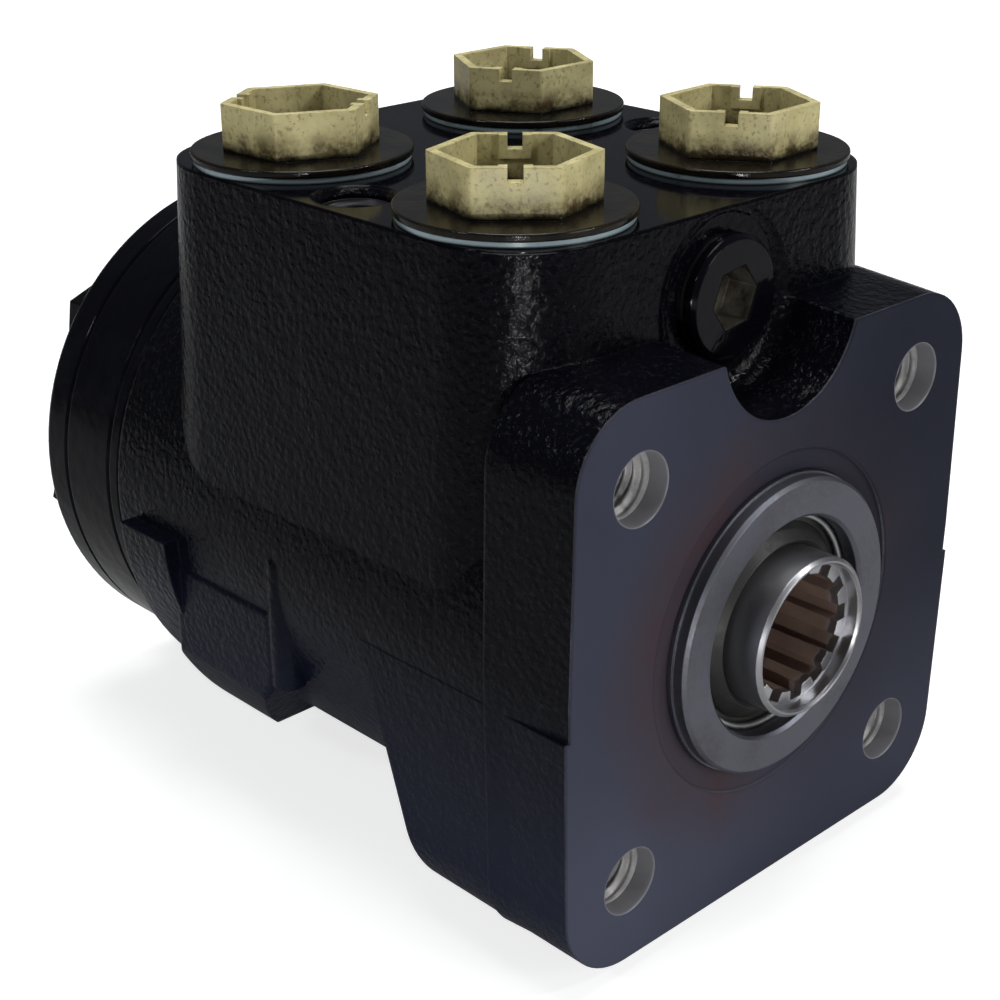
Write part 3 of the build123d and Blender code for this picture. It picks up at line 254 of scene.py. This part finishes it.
def turned_marks_group():
    """Rings about an axis: noise of the distance from the axis alone, plus a slow waver."""
    tree, given, result = new_group(
        "turned_marks",
        [("Radius", "NodeSocketFloat", 0.0), ("Position", "NodeSocketVector", None),
         ("Rings per metre", "NodeSocketFloat", 4000.0)],
        [("Height", "NodeSocketFloat"), ("Shade", "NodeSocketFloat")],
    )
    rings = add(tree, "ShaderNodeTexNoise", noise_dimensions="1D")
    feed(tree, rings.inputs["W"], given.outputs["Radius"])
    feed(tree, rings.inputs["Scale"], given.outputs["Rings per metre"])
    rings.inputs["Detail"].default_value = 2.0
    waver = noise(tree, given.outputs["Position"], 90.0, 2.0)
    shade = calc(tree, "MULTIPLY_ADD", rings.outputs[0], 0.5, calc(tree, "MULTIPLY", waver, 0.5))
    feed(tree, result.inputs["Height"], rings.outputs[0])
    feed(tree, result.inputs["Shade"], shade)
    return tree


def grime_group():
    """Blotches with fine speckle: a slow noise sharpened and broken up by a quick one."""
    tree, given, result = new_group(
        "grime",
        [("Position", "NodeSocketVector", None), ("Blotches per metre", "NodeSocketFloat", 120.0),
         ("Amount", "NodeSocketFloat", 0.5)],
        [("Mask", "NodeSocketFloat"), ("Speckle", "NodeSocketFloat")],
    )
    place = given.outputs["Position"]
    slow = add(tree, "ShaderNodeTexNoise")
    feed(tree, slow.inputs["Vector"], place)
    feed(tree, slow.inputs["Scale"], given.outputs["Blotches per metre"])
    slow.inputs["Detail"].default_value = 5.0
    quick = noise(tree, place, 1500.0, 3.0, 0.6)
    broken = calc(tree, "MULTIPLY_ADD", quick, 0.35, slow.outputs[0])
    lifted = calc(tree, "ADD", broken, given.outputs["Amount"])
    feed(tree, result.inputs["Mask"], step(tree, lifted, 0.95, 1.35))
    feed(tree, result.inputs["Speckle"], step(tree, quick, 0.56, 0.66))
    return tree


CAST_SKIN = cast_skin_group()
TURNED_MARKS = turned_marks_group()
GRIME = grime_group()


def placed(tree, group, place, **values):
    """Puts a shared group in a material, with its own values."""
    node = add(tree, "ShaderNodeGroup", node_tree=group)
    feed(tree, node.inputs["Position"], place)
    for name, value in values.items():
        feed(tree, node.inputs[name.replace("_", " ")], value)
    return node.outputs


print("groups:", [g.name for g in bpy.data.node_groups])

# %% [markdown]
# Machined regions of the housing are told apart by where they lie: the flange face is the
# plane y = 0, the port face is the top plane, and a hole is a distance from its axis.  One
# mask for each region then drives colour, roughness and bump together, so paint, bare metal
# and threads meet on crisp lines as they do on the real casting.

# %% Region masks
# Lengths are in millimetres, apart from those read from the frame, which are in metres.
COLUMN_HOLE = 29.168
HOLE_REACH = 5.15
HOLE_FLOOR = 22.0
HALO_REACH = 26.6
HALO_FLOOR = 0.75
FLANGE_BITE = 0.25
RIM_FROM = 0.06
RIM_TO = 0.42
RELIEF_Z = 45.1
POCKET_REACH = 11.4
POCKET_FLOOR = 12.9
PORT_FACE_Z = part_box("cap_washer_p")[0][2]
TOP_BITE = 0.4


def parts_of(tree, place):
    """X, Y and Z of a position, in metres."""
    split = add(tree, "ShaderNodeSeparateXYZ")
    feed(tree, split.inputs[0], place)
    return split.outputs


def distance(tree, a, b, a0, b0):
    """Distance in a plane from the point (a0, b0)."""
    da = calc(tree, "SUBTRACT", a, a0)
    db = calc(tree, "SUBTRACT", b, b0)
    return calc(tree, "SQRT", calc(tree, "ADD", calc(tree, "MULTIPLY", da, da),
                                   calc(tree, "MULTIPLY", db, db)))


def flange_mask(tree, y, from_axis):
    """1 on the machined flange face, a hair behind its edge, and in the turned ring recess."""
    flat = step(tree, y, FLANGE_BITE * MM, 0.5 * FLANGE_BITE * MM)
    recess = calc(tree, "MULTIPLY", step(tree, y, (HALO_FLOOR + 0.1) * MM, HALO_FLOOR * MM),
                  step(tree, from_axis, HALO_REACH * MM, (HALO_REACH - 0.2) * MM))
    return calc(tree, "MAXIMUM", flat, recess)


def column_hole_mask(tree, x, y, z):
    """1 inside the four column holes: one test, folded over by the absolute value."""
    away = distance(tree, calc(tree, "ABSOLUTE", x), calc(tree, "ABSOLUTE", z),
                    COLUMN_HOLE * MM, COLUMN_HOLE * MM)
    inside = step(tree, away, HOLE_REACH * MM, (HOLE_REACH - 0.1) * MM)
    return calc(tree, "MULTIPLY", inside, step(tree, y, HOLE_FLOOR * MM, (HOLE_FLOOR - 0.5) * MM))


def pocket_mask(tree, x, y, z):
    """1 in the milled relief pocket, down to its floor."""
    away = distance(tree, x, z, 0.0, RELIEF_Z * MM)
    return calc(tree, "MULTIPLY", step(tree, away, POCKET_REACH * MM, (POCKET_REACH - 0.5) * MM),
                step(tree, y, POCKET_FLOOR * MM, (POCKET_FLOOR - 0.2) * MM))


def worn_and_lit_rim_mask(tree, y):
    """1 just behind the flange face, on edges worn bare by handling and on a painted highlight.
    """
    return calc(tree, "MULTIPLY", step(tree, y, RIM_FROM * MM, 2 * RIM_FROM * MM),
                step(tree, y, RIM_TO * MM, 0.8 * RIM_TO * MM))


print("port face at", round(PORT_FACE_Z / MM, 2), "mm")

# %% [markdown]
# The housing's paint is thick, glossy and nearly black.  Lower down it is painted lighter and
# bluer: a painted reflection.
# On the casting it lies over sand marks, so it sparkles.  On the port face and in the relief
# pocket it lies on a milled surface, so it is a dark mirror.  The flange face was ground
# after painting and carries a thin grey-blue oxide, with rust creeping out from the ring and
# a thin worn line along its rim, which is also a painted highlight.  The oxide is painted
# lighter towards the left and the bottom of the face: painted light.

# %% Housing paint
PAINT_BLACK = (0.0020, 0.0020, 0.0036)
# The blue colour is a painted reflection on the lower paint.
PAINT_BLUE_REFLECTION = (0.0110, 0.0140, 0.0300)
PAINT_DUST = (0.016, 0.017, 0.026)
OXIDE_GREY = (0.006, 0.0075, 0.017)
# The pale oxide colour is also the painted light on the flange's left and lower parts.
OXIDE_PALE_AND_LIT = (0.064, 0.069, 0.103)
# The worn-edge colour is also a painted edge highlight.
WORN_EDGE_AND_HIGHLIGHT = (0.11, 0.115, 0.14)
RUST_RED = (0.060, 0.030, 0.026)
THREAD_GREY = (0.30, 0.30, 0.32)
PAINT_SHEEN = 0.085
LUMPS_PER_METRE = 900.0
GRIT = 0.60
CAST_DEPTH = 0.13
GROUND_DEPTH = 0.005


def housing_material():
    """Paint on the casting, oxide on the ground face, bare metal in the column holes."""
    material, tree, shader, place = bare_material("housing_paint")
    x, y, z = parts_of(tree, place)
    from_axis = distance(tree, x, z, 0.0, 0.0)
    face = flange_mask(tree, y, from_axis)
    holes = column_hole_mask(tree, x, y, z)
    top = step(tree, z, PORT_FACE_Z - TOP_BITE * MM, PORT_FACE_Z - 0.5 * TOP_BITE * MM)
    milled = calc(tree, "MAXIMUM", top, pocket_mask(tree, x, y, z))
    skin = placed(tree, CAST_SKIN, place, Lumps_per_metre=LUMPS_PER_METRE, Grit=GRIT)
    dirt = placed(tree, GRIME, place, Blotches_per_metre=70.0, Amount=0.35)
    rings = placed(tree, TURNED_MARKS, place, Radius=from_axis, Rings_per_metre=3000.0)
    near_ring = step(tree, from_axis, 38.0 * MM, 24.0 * MM)
    left = step(tree, x, 4.0 * MM, -20.0 * MM)
    rust_band = calc(tree, "MULTIPLY", near_ring, calc(tree, "MULTIPLY_ADD", left, 0.9, 0.3))
    rust = calc(tree, "MULTIPLY", rust_band,
                calc(tree, "MULTIPLY_ADD", dirt["Mask"], 0.6, 0.35), clamp=True)
    shade = noise(tree, place, 60.0, 4.0)
    # Painted light: the oxide is coloured paler towards the left and the bottom of the face.
    low = step(tree, z, 5.0 * MM, -38.0 * MM)
    lit_leftward = step(tree, x, 24.0 * MM, -34.0 * MM)
    pale = calc(tree, "MULTIPLY_ADD", low, 0.42, calc(tree, "MULTIPLY", shade, 0.22))
    pale = calc(tree, "MULTIPLY_ADD", lit_leftward, 0.45, pale, clamp=True)
    oxide = mix(tree, pale, OXIDE_GREY, OXIDE_PALE_AND_LIT)
    oxide = mix(tree, rust, oxide, RUST_RED)
    # Painted reflection: from just above the axis downward the paint grows lighter and bluer.
    reflecting_low = step(tree, z, 8.0 * MM, -30.0 * MM)
    paint = mix(tree, reflecting_low, PAINT_BLACK, PAINT_BLUE_REFLECTION)
    paint = mix(tree, calc(tree, "MULTIPLY", dirt["Speckle"], 0.35), paint, PAINT_DUST)
    colour = mix(tree, face, paint, oxide)
    # A thin light line along the rim: partly worn bare edge, partly a painted highlight.
    worn_and_lit = calc(tree, "MULTIPLY", worn_and_lit_rim_mask(tree, y),
                calc(tree, "MULTIPLY_ADD", dirt["Mask"], 0.6, 0.3), clamp=True)
    colour = mix(tree, worn_and_lit, colour, WORN_EDGE_AND_HIGHLIGHT)
    colour = mix(tree, holes, colour, THREAD_GREY)
    feed(tree, shader.inputs["Base Color"], colour)
    bare = calc(tree, "MAXIMUM", face, holes)
    feed(tree, shader.inputs["Metallic"], calc(tree, "MULTIPLY", holes, 0.4))
    cast_rough = calc(tree, "MULTIPLY_ADD", skin["Grain"], 0.10, 0.05)
    rough = blend_values(tree, milled, cast_rough,
                         calc(tree, "MULTIPLY_ADD", shade, 0.10, 0.04))
    rough = blend_values(tree, bare, rough, calc(tree, "MULTIPLY_ADD", shade, 0.12, 0.42))
    feed(tree, shader.inputs["Roughness"], rough)
    smooth_share = calc(tree, "MAXIMUM", milled, bare)
    cast_height = calc(tree, "MULTIPLY", skin["Height"],
                       calc(tree, "SUBTRACT", 1.0, smooth_share))
    normal = bump(tree, cast_height, CAST_DEPTH, soft_edges(tree, 0.6))
    ground = calc(tree, "MULTIPLY", rings["Height"], face)
    feed(tree, shader.inputs["Normal"], bump(tree, ground, GROUND_DEPTH, normal))
    shader.inputs["Specular IOR Level"].default_value = PAINT_SHEEN
    return material


dress(housing_material(), "housing")
print("housing painted")

# %% [markdown]
# The stack behind is turned steel under the same paint, so it has no cast lumps: only a soft
# orange-peel skin.  The screws and washers got their paint after assembly.

# %% Stack and screw paint
def smooth_paint(name, peel_mm, rough):
    """Gloss black over machined steel with a faint orange-peel."""
    material, tree, shader, place = bare_material(name)
    peel = noise(tree, place, 330.0, 2.0, 0.4)
    dirt = placed(tree, GRIME, place, Blotches_per_metre=90.0, Amount=0.3)
    colour = mix(tree, calc(tree, "MULTIPLY", dirt["Mask"], 0.3), PAINT_BLACK, PAINT_DUST)
    feed(tree, shader.inputs["Base Color"], colour)
    feed(tree, shader.inputs["Roughness"],
         calc(tree, "MULTIPLY_ADD", dirt["Mask"], 0.12, rough))
    feed(tree, shader.inputs["Normal"], bump(tree, peel, peel_mm, soft_edges(tree, 0.4)))
    shader.inputs["Specular IOR Level"].default_value = PAINT_SHEEN
    return material


dress(smooth_paint("stack_paint", 0.12, 0.14), "spacer_plate", "gerotor_ring", "end_cover")
dress(smooth_paint("screw_paint", 0.08, 0.18), "cover_screws", "pin_screw", "screw_washers")
print("stack painted")

# %% [markdown]
# The caps are moulded in pale cream plastic.  Dark oil has run into their corners and over the
# round flanges, which look black and wet; their near-black is partly that oil and partly a
# painted dark reflection.  So colour goes by height with a ragged edge.

# %% Transport caps
CREAM = (0.54, 0.47, 0.20)
CREAM_LIGHT = (0.76, 0.69, 0.38)
OIL_BROWN = (0.06, 0.040, 0.014)
CAP_SPECK = (0.16, 0.11, 0.04)
# The near-black film colour is oil and also a painted dark reflection on the flanges.
FILM_DARK_AND_REFLECTION = (0.004, 0.0035, 0.003)
FILM_BROWN = (0.013, 0.010, 0.006)
CAP_SHEEN = 0.22
WASHER_BLUE = (0.30, 0.39, 0.42)
# The washer's second colour is dirt and also a painted shadow.
WASHER_DIRT_AND_SHADOW = (0.035, 0.037, 0.036)
CAP_SEAT_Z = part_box("cap_washer_p")[1][2]
CAP_FLANGE_TOP = CAP_SEAT_Z + 1.1 * MM
RAGGED = 0.9


def cap_material():
    """Cream above, stained towards the flange, with beads of oil round the hexagon's foot."""
    material, tree, shader, place = bare_material("cap_plastic")
    z = parts_of(tree, place)[2]
    ragged = calc(tree, "MULTIPLY_ADD", noise(tree, place, 500.0, 3.0), RAGGED * MM,
                  -0.5 * RAGGED * MM)
    level = calc(tree, "ADD", z, ragged)

    def below(top, bottom):
        """1 at bottom or lower, 0 at top or higher, in millimetres above the flange."""
        return step(tree, level, CAP_FLANGE_TOP + top * MM, CAP_FLANGE_TOP + bottom * MM)

    oil_and_reflection = below(1.3, 0.1)
    dirt = placed(tree, GRIME, place, Blotches_per_metre=260.0, Amount=0.48)
    low = below(4.4, 0.6)
    stain = calc(tree, "MULTIPLY_ADD", low, 0.45, calc(
        tree, "MULTIPLY", dirt["Mask"], calc(tree, "MULTIPLY_ADD", low, 0.6, 0.3)))
    cream = mix(tree, noise(tree, place, 150.0, 3.0), CREAM, CREAM_LIGHT)
    cream = mix(tree, calc(tree, "MULTIPLY", stain, 0.85, clamp=True), cream, OIL_BROWN)
    cream = mix(tree, calc(tree, "MULTIPLY", dirt["Speckle"], 0.45), cream, CAP_SPECK)
    # Painted reflection, partly oil: the flanges are coloured near-black.
    film = mix(tree, dirt["Mask"], FILM_DARK_AND_REFLECTION, FILM_BROWN)
    feed(tree, shader.inputs["Base Color"], mix(tree, oil_and_reflection, cream, film))
    feed(tree, shader.inputs["Roughness"], blend_values(
        tree, oil_and_reflection, calc(tree, "MULTIPLY_ADD", dirt["Mask"], -0.15, 0.46), 0.16))
    shader.inputs["Specular IOR Level"].default_value = CAP_SHEEN
    wet_foot = calc(tree, "MULTIPLY", below(2.6, 1.4),
                    step(tree, z, CAP_FLANGE_TOP, CAP_FLANGE_TOP + 0.2 * MM))
    depth = calc(tree, "MULTIPLY_ADD", wet_foot, 5.0, 1.0)
    beads = calc(tree, "MULTIPLY", noise(tree, place, 1100.0, 3.0), depth)
    feed(tree, shader.inputs["Normal"], bump(tree, beads, 0.05, soft_edges(tree, 0.25)))
    return material


def washer_material():
    """Pale blue plastic that shows as a line, with dirt blotches and a painted shadow on its
    lower half.
    """
    material, tree, shader, place = bare_material("cap_washer_plastic")
    z = parts_of(tree, place)[2]
    blot = placed(tree, GRIME, place, Blotches_per_metre=200.0, Amount=0.25)
    # Painted shadow: the washer grows dark towards its lower half, under the cap's flange.
    low = step(tree, z, 0.5 * (PORT_FACE_Z + CAP_SEAT_Z), PORT_FACE_Z)
    dark = calc(tree, "MAXIMUM", blot["Mask"], low)
    feed(tree, shader.inputs["Base Color"],
         mix(tree, dark, WASHER_BLUE, WASHER_DIRT_AND_SHADOW))
    feed(tree, shader.inputs["Roughness"], calc(tree, "MULTIPLY_ADD", blot["Mask"], 0.2, 0.25))
    feed(tree, shader.inputs["Normal"], soft_edges(tree, 0.15))
    return material


CAPS = [name for name in sorted(nodes) if name.startswith("port_cap_")]
WASHERS = [name for name in sorted(nodes) if name.startswith("cap_washer_")]
dress(cap_material(), *CAPS)
dress(washer_material(), *WASHERS)
print(CAPS)

# %% [markdown]
# Turned steel shows rings about its axis.  The spool's nose is bright and burnished by the
# seal; down in the spline, old grease turns it brown.  The gland ring is a duller grey.

# %% Steels
RING_DEPTH = 0.0015
TOOTH_ENDS = (0.50, 0.50, 0.52)
GREASE_DARK = (0.15, 0.095, 0.075)
GREASE_LIGHT = (0.30, 0.21, 0.17)
BORE_REACH = 10.85
GREASE_FROM = -2.6


def turned_steel(name, tone, stain, rough):
    """Steel turned about the shaft axis; the stain shows through in blotches."""
    material, tree, shader, place = bare_material(name)
    x, y, z = parts_of(tree, place)
    from_axis = distance(tree, x, z, 0.0, 0.0)
    along = calc(tree, "ADD", y, from_axis)
    rings = placed(tree, TURNED_MARKS, place, Radius=along, Rings_per_metre=2600.0)
    blot = placed(tree, GRIME, place, Blotches_per_metre=110.0, Amount=0.35)
    colour = mix(tree, calc(tree, "MULTIPLY", blot["Mask"], 0.55), tone, stain)
    colour = mix(tree, calc(tree, "MULTIPLY", rings["Shade"], 0.35), colour,
                 tuple(0.55 * c for c in tone))
    feed(tree, shader.inputs["Base Color"], colour)
    shader.inputs["Metallic"].default_value = 1.0
    feed(tree, shader.inputs["Roughness"], calc(
        tree, "ADD", calc(tree, "MULTIPLY", rings["Shade"], 0.10),
        calc(tree, "MULTIPLY_ADD", blot["Mask"], 0.16, rough)))
    normal = bump(tree, rings["Height"], RING_DEPTH, soft_edges(tree, 0.2))
    feed(tree, shader.inputs["Normal"], normal)
    return material


def nose_steel():
    """Bright outside and on the teeth's front ends, brown and greasy deeper in the bore."""
    material = turned_steel("nose_steel", (0.42, 0.42, 0.44), (0.18, 0.15, 0.14), 0.28)
    tree = material.node_tree
    shader = tree.nodes["Principled BSDF"]
    place = add(tree, "ShaderNodeTexCoord").outputs["Object"]
    x, y, z = parts_of(tree, place)
    from_axis = distance(tree, x, z, 0.0, 0.0)
    bore = step(tree, from_axis, BORE_REACH * MM, (BORE_REACH - 0.25) * MM)
    ragged = calc(tree, "MULTIPLY_ADD", noise(tree, place, 700.0, 2.0), 1.2 * MM, y)
    deep = step(tree, ragged, GREASE_FROM * MM, (GREASE_FROM + 0.8) * MM)
    inside = calc(tree, "MULTIPLY", bore, deep)
    outside = shader.inputs["Base Color"].links[0].from_socket
    smear = noise(tree, place, 260.0, 4.0)
    brown = mix(tree, smear, GREASE_DARK, GREASE_LIGHT)
    ends = mix(tree, bore, outside, TOOTH_ENDS)
    feed(tree, shader.inputs["Base Color"], mix(tree, inside, ends, brown))
    feed(tree, shader.inputs["Metallic"], calc(tree, "MULTIPLY_ADD", inside, -0.75, 1.0))
    return material


dress(nose_steel(), "spool")
dress(turned_steel("ring_steel", (0.17, 0.175, 0.205), (0.10, 0.08, 0.075), 0.38), "gland_ring")
GROUND = ["sleeve", "cross_pin", "spring_ring", "front_race", "rear_race", "bearing_needles",
          "gerotor_star", "drive_spacer", "check_ball", "relief_poppet"]
GROUND += [name for name in nodes if name.startswith("leaf_")]
dress(turned_steel("ground_steel", (0.50, 0.50, 0.51), (0.35, 0.33, 0.30), 0.24), *GROUND)
dress(turned_steel("wire_steel", (0.46, 0.46, 0.46), (0.20, 0.18, 0.16), 0.28),
      "retaining_ring")
dress(turned_steel("dark_steel", (0.12, 0.12, 0.125), (0.06, 0.05, 0.045), 0.34),
      "relief_ring", "relief_spring", "check_bush", "bearing_cage", "drive_link", "glide_ring")
print("steels done")

# %% [markdown]
# The relief plug was painted with the housing, but the key has scraped its socket bare.

# %% Relief plug
SOCKET_REACH = 4.75
SOCKET_STEEL = (0.28, 0.26, 0.22)
SOCKET_DIRT = (0.07, 0.06, 0.05)
PLUG_SHEEN = 0.15


def plug_material():
    """Gloss black, but bare steel inside the hexagon socket."""
    material, tree, shader, place = bare_material("plug_paint")
    x, y, z = parts_of(tree, place)
    away = distance(tree, x, z, 0.0, RELIEF_Z * MM)
    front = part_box("relief_plug")[0][1]
    deep = step(tree, y, front + 0.1 * MM, front + 0.35 * MM)
    bare = calc(tree, "MULTIPLY", step(tree, away, SOCKET_REACH * MM, (SOCKET_REACH - 0.15) * MM),
                deep)
    blot = placed(tree, GRIME, place, Blotches_per_metre=300.0, Amount=0.4)
    steel = mix(tree, blot["Mask"], SOCKET_STEEL, SOCKET_DIRT)
    feed(tree, shader.inputs["Base Color"], mix(tree, bare, PAINT_BLACK, steel))
    feed(tree, shader.inputs["Metallic"], calc(tree, "MULTIPLY", bare, 0.85))
    feed(tree, shader.inputs["Roughness"], blend_values(tree, bare, 0.10, 0.40))
    shader.inputs["Specular IOR Level"].default_value = PLUG_SHEEN
    feed(tree, shader.inputs["Normal"],
         bump(tree, noise(tree, place, 420.0, 2.0), 0.05, soft_edges(tree, 0.3)))
    return material


dress(plug_material(), "relief_plug")

# %% [markdown]
# Rubber: nearly black and oily, with a soft grain.

# %% Rubber
def rubber_material():
    """Black rubber, shinier where oil lies on it."""
    material, tree, shader, place = bare_material("seal_rubber")
    grain = noise(tree, place, 1800.0, 3.0)
    film = placed(tree, GRIME, place, Blotches_per_metre=150.0, Amount=0.4)
    feed(tree, shader.inputs["Base Color"],
         mix(tree, film["Mask"], (0.012, 0.012, 0.012), (0.03, 0.028, 0.024)))
    feed(tree, shader.inputs["Roughness"],
         calc(tree, "MULTIPLY_ADD", film["Mask"], -0.2, 0.55))
    feed(tree, shader.inputs["Normal"], bump(tree, grain, 0.01, soft_edges(tree, 0.2)))
    return material


dress(rubber_material(), "dust_seal", "gland_cord", "shaft_seal", "housing_cord", "plate_cord",
      "ring_cord")

# %% [markdown]
# A thread is one ridge wound round the wall.  Seen as a surface, its radius depends only on
# where a point lies along the axis minus its share of a turn, so the whole thread is one
# formula on a grid.  The liner is a closed skin: the threaded inside, and a plain outside
# that is buried just behind the wall of the hole.

# %% Thread liners
def ring_grid(inner, outer, along):
    """Points and faces of a closed liner.

    inner and outer are radii on a grid (turn, row); along is each row's depth.  A row walks
    down the inner wall and back up the outer one, and the last row joins the first.
    """
    turns, rows = inner.shape
    angle = np.linspace(0.0, 2 * pi, turns, endpoint=False)[:, None]
    radius = np.concatenate([inner, outer[:, ::-1]], axis=1)
    depth = np.concatenate([along, along[::-1]])[None, :] + 0 * angle
    points = np.stack([radius * np.cos(angle), depth, radius * np.sin(angle)], axis=-1)
    size = 2 * rows
    a = np.arange(turns)[:, None] * size + np.arange(size)[None, :]
    b = np.roll(a, -1, axis=0)
    faces = np.stack([a, np.roll(a, -1, axis=1), np.roll(b, -1, axis=1), b], axis=-1)
    return points.reshape(-1, 3), faces.reshape(-1, 4)


THREAD_ROOT = 5.0
THREAD_CREST = 4.2
THREAD_PITCH = 1.5
ROWS_PER_TURN = 14
LINER_STEPS = 72
WALL_SKIN = 0.02
BURIED = 0.05
SIDE_HOLE_X = 31.0
SIDE_HOLE_Y = 51.5


def thread_liner(name, centre, into, start, length):
    """Liner of an internal thread.

    Radius in words: root radius minus the tooth height times a rounded triangle wave of
    (depth / pitch minus the share of a turn), faded out over the last turn at each end.
    """
    end = start + length
    rows = int(length / THREAD_PITCH * ROWS_PER_TURN)
    along = np.linspace(start, end, rows)
    share = np.linspace(0.0, 1.0, LINER_STEPS, endpoint=False)[:, None]
    phase = (along[None, :] / THREAD_PITCH - share) % 1.0
    wave = np.clip(1.35 * (1 - np.abs(2 * phase - 1)) - 0.12, 0.0, 1.0)
    begins = np.clip((along - start) / THREAD_PITCH, 0.0, 1.0)
    ends = np.clip((end - along) / THREAD_PITCH, 0.0, 1.0)
    tooth = THREAD_ROOT - THREAD_CREST
    inner = THREAD_ROOT - WALL_SKIN - tooth * wave * (begins * ends)[None, :]
    outer = np.full_like(inner, THREAD_ROOT + BURIED)
    points, faces = ring_grid(inner, outer, along)
    toward = np.array(into, float)
    side = np.array([1.0, 0.0, 0.0])
    third = np.cross(side, toward)
    points = points @ np.array([side, toward, third]) + np.array(centre)
    mesh = bpy.data.meshes.new(name)
    mesh.from_pydata((points * MM).tolist(), [], faces.tolist())
    mesh.update()
    liner = bpy.data.objects.new(name, mesh)
    bpy.context.scene.collection.objects.link(liner)
    for polygon in mesh.polygons:
        polygon.use_smooth = True
    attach(liner, "housing_body")
    return liner


def thread_material(name, dull, bright):
    """Cut thread: gritty grey where bare, nearly black where oil or paint fills it."""
    material, tree, shader, place = bare_material(name)
    blot = placed(tree, GRIME, place, Blotches_per_metre=330.0, Amount=0.38)
    grit = noise(tree, place, 2400.0, 3.0)
    tone = mix(tree, grit, dull, bright)
    feed(tree, shader.inputs["Base Color"],
         mix(tree, calc(tree, "MULTIPLY", blot["Mask"], 0.4), tone, (0.06, 0.055, 0.055)))
    shader.inputs["Metallic"].default_value = 0.15
    feed(tree, shader.inputs["Roughness"], calc(tree, "MULTIPLY_ADD", grit, 0.2, 0.34))
    feed(tree, shader.inputs["Normal"], bump(tree, grit, 0.02))
    return material


COLUMN_THREADS = thread_material("thread_steel", (0.32, 0.31, 0.31), (0.55, 0.54, 0.53))
SIDE_THREADS = thread_material("oily_thread", (0.008, 0.008, 0.010), (0.035, 0.035, 0.045))
for side, height in ((-1, 1), (1, 1), (-1, -1), (1, -1)):
    word = ("left" if side < 0 else "right") + ("_upper" if height > 0 else "_lower")
    mouth = (side * COLUMN_HOLE, 0.0, height * COLUMN_HOLE)
    liner = thread_liner(f"column_thread_{word}", mouth, (0, 1, 0), 3.2, 14.0)
    liner.data.materials.append(COLUMN_THREADS)
for side, word in ((-1, "left"), (1, "right")):
    mouth = (side * SIDE_HOLE_X, SIDE_HOLE_Y, PORT_FACE_Z / MM)
    liner = thread_liner(f"side_thread_{word}", mouth, (0, 0, -1), 1.6, 11.5)
    liner.data.materials.append(SIDE_THREADS)

# %% [markdown]
# The floor is a large pale disc at the height of the part's lowest point.  Seen straight by the
# camera it glows a little, and more so far from the part, so that it ends in plain white with
# the part's shadow still on it.

# %% Floor
FLOOR_Z = cad_box[0][2]
FLOOR_RADIUS = 4.0
FLOOR_STEPS = 96
GLOW_NEAR = 0.74
GLOW_RISE = 0.26
CENTRE = (0.0, 0.05, 0.0)

rim = np.linspace(0.0, 2 * pi, FLOOR_STEPS, endpoint=False)
disc = np.stack([FLOOR_RADIUS * np.cos(rim), FLOOR_RADIUS * np.sin(rim),
                 np.full_like(rim, FLOOR_Z)], axis=-1)
floor_mesh = bpy.data.meshes.new("floor")
floor_mesh.from_pydata(disc.tolist(), [], [list(range(FLOOR_STEPS))])
floor = bpy.data.objects.new("floor", floor_mesh)
bpy.context.scene.collection.objects.link(floor)
floor_material, tree, shader, place = bare_material("floor_white")
faint = noise(tree, place, 8.0, 2.0)
feed(tree, shader.inputs["Base Color"], mix(tree, faint, (0.50, 0.50, 0.50), (0.54, 0.54, 0.54)))
shader.inputs["Roughness"].default_value = 0.9
shader.inputs["Specular IOR Level"].default_value = 0.1
seen = add(tree, "ShaderNodeLightPath").outputs["Is Camera Ray"]
shader.inputs["Emission Color"].default_value = (1, 1, 1, 1)
floor_place = parts_of(tree, place)
away = distance(tree, floor_place["X"], floor_place["Y"], CENTRE[0], CENTRE[1])
far = step(tree, away, 0.25, 0.70)
glow = calc(tree, "MULTIPLY_ADD", far, GLOW_RISE, GLOW_NEAR)
feed(tree, shader.inputs["Emission Strength"], calc(tree, "MULTIPLY", seen, glow))
floor_mesh.materials.append(floor_material)
print("floor at", round(FLOOR_Z / MM, 2), "mm")

# %% [markdown]
# The light comes from a broad soft box overhead and softer ones left and in front.  Two tiny
# lamps, one beside the camera and one at the right, set off the sparkles in the cast paint.

# %% Lights and view
def soft_box(name, at, toward, size, power):
    """Square area lamp that faces a point."""
    data = bpy.data.lights.new(name, "AREA")
    data.size = size
    data.energy = power
    lamp = bpy.data.objects.new(name, data)
    bpy.context.scene.collection.objects.link(lamp)
    aim = Vector(toward) - Vector(at)
    lamp.matrix_world = Matrix.Translation(at) @ aim.to_track_quat("-Z", "Y").to_matrix().to_4x4()


soft_box("overhead", (0.1, 0.15, 1.1), CENTRE, 0.6, 9.0)
soft_box("left_key", (-0.75, 0.15, 0.55), CENTRE, 0.12, 1.2)
soft_box("front_fill", (0.25, -0.85, 0.35), CENTRE, 0.3, 2.4)
soft_box("camera_spark", (-0.230, -0.205, 0.010), CENTRE, 0.006, 0.24)
soft_box("right_spark", (0.45, -0.60, 0.60), CENTRE, 0.035, 1.6)

world = bpy.data.worlds.new("room")
world.use_nodes = True
room = world.node_tree.nodes["Background"]
room.inputs["Color"].default_value = (0.80, 0.84, 0.90, 1)
room.inputs["Strength"].default_value = 0.14
bpy.context.scene.world = world
bpy.context.scene.view_settings.view_transform = "Standard"
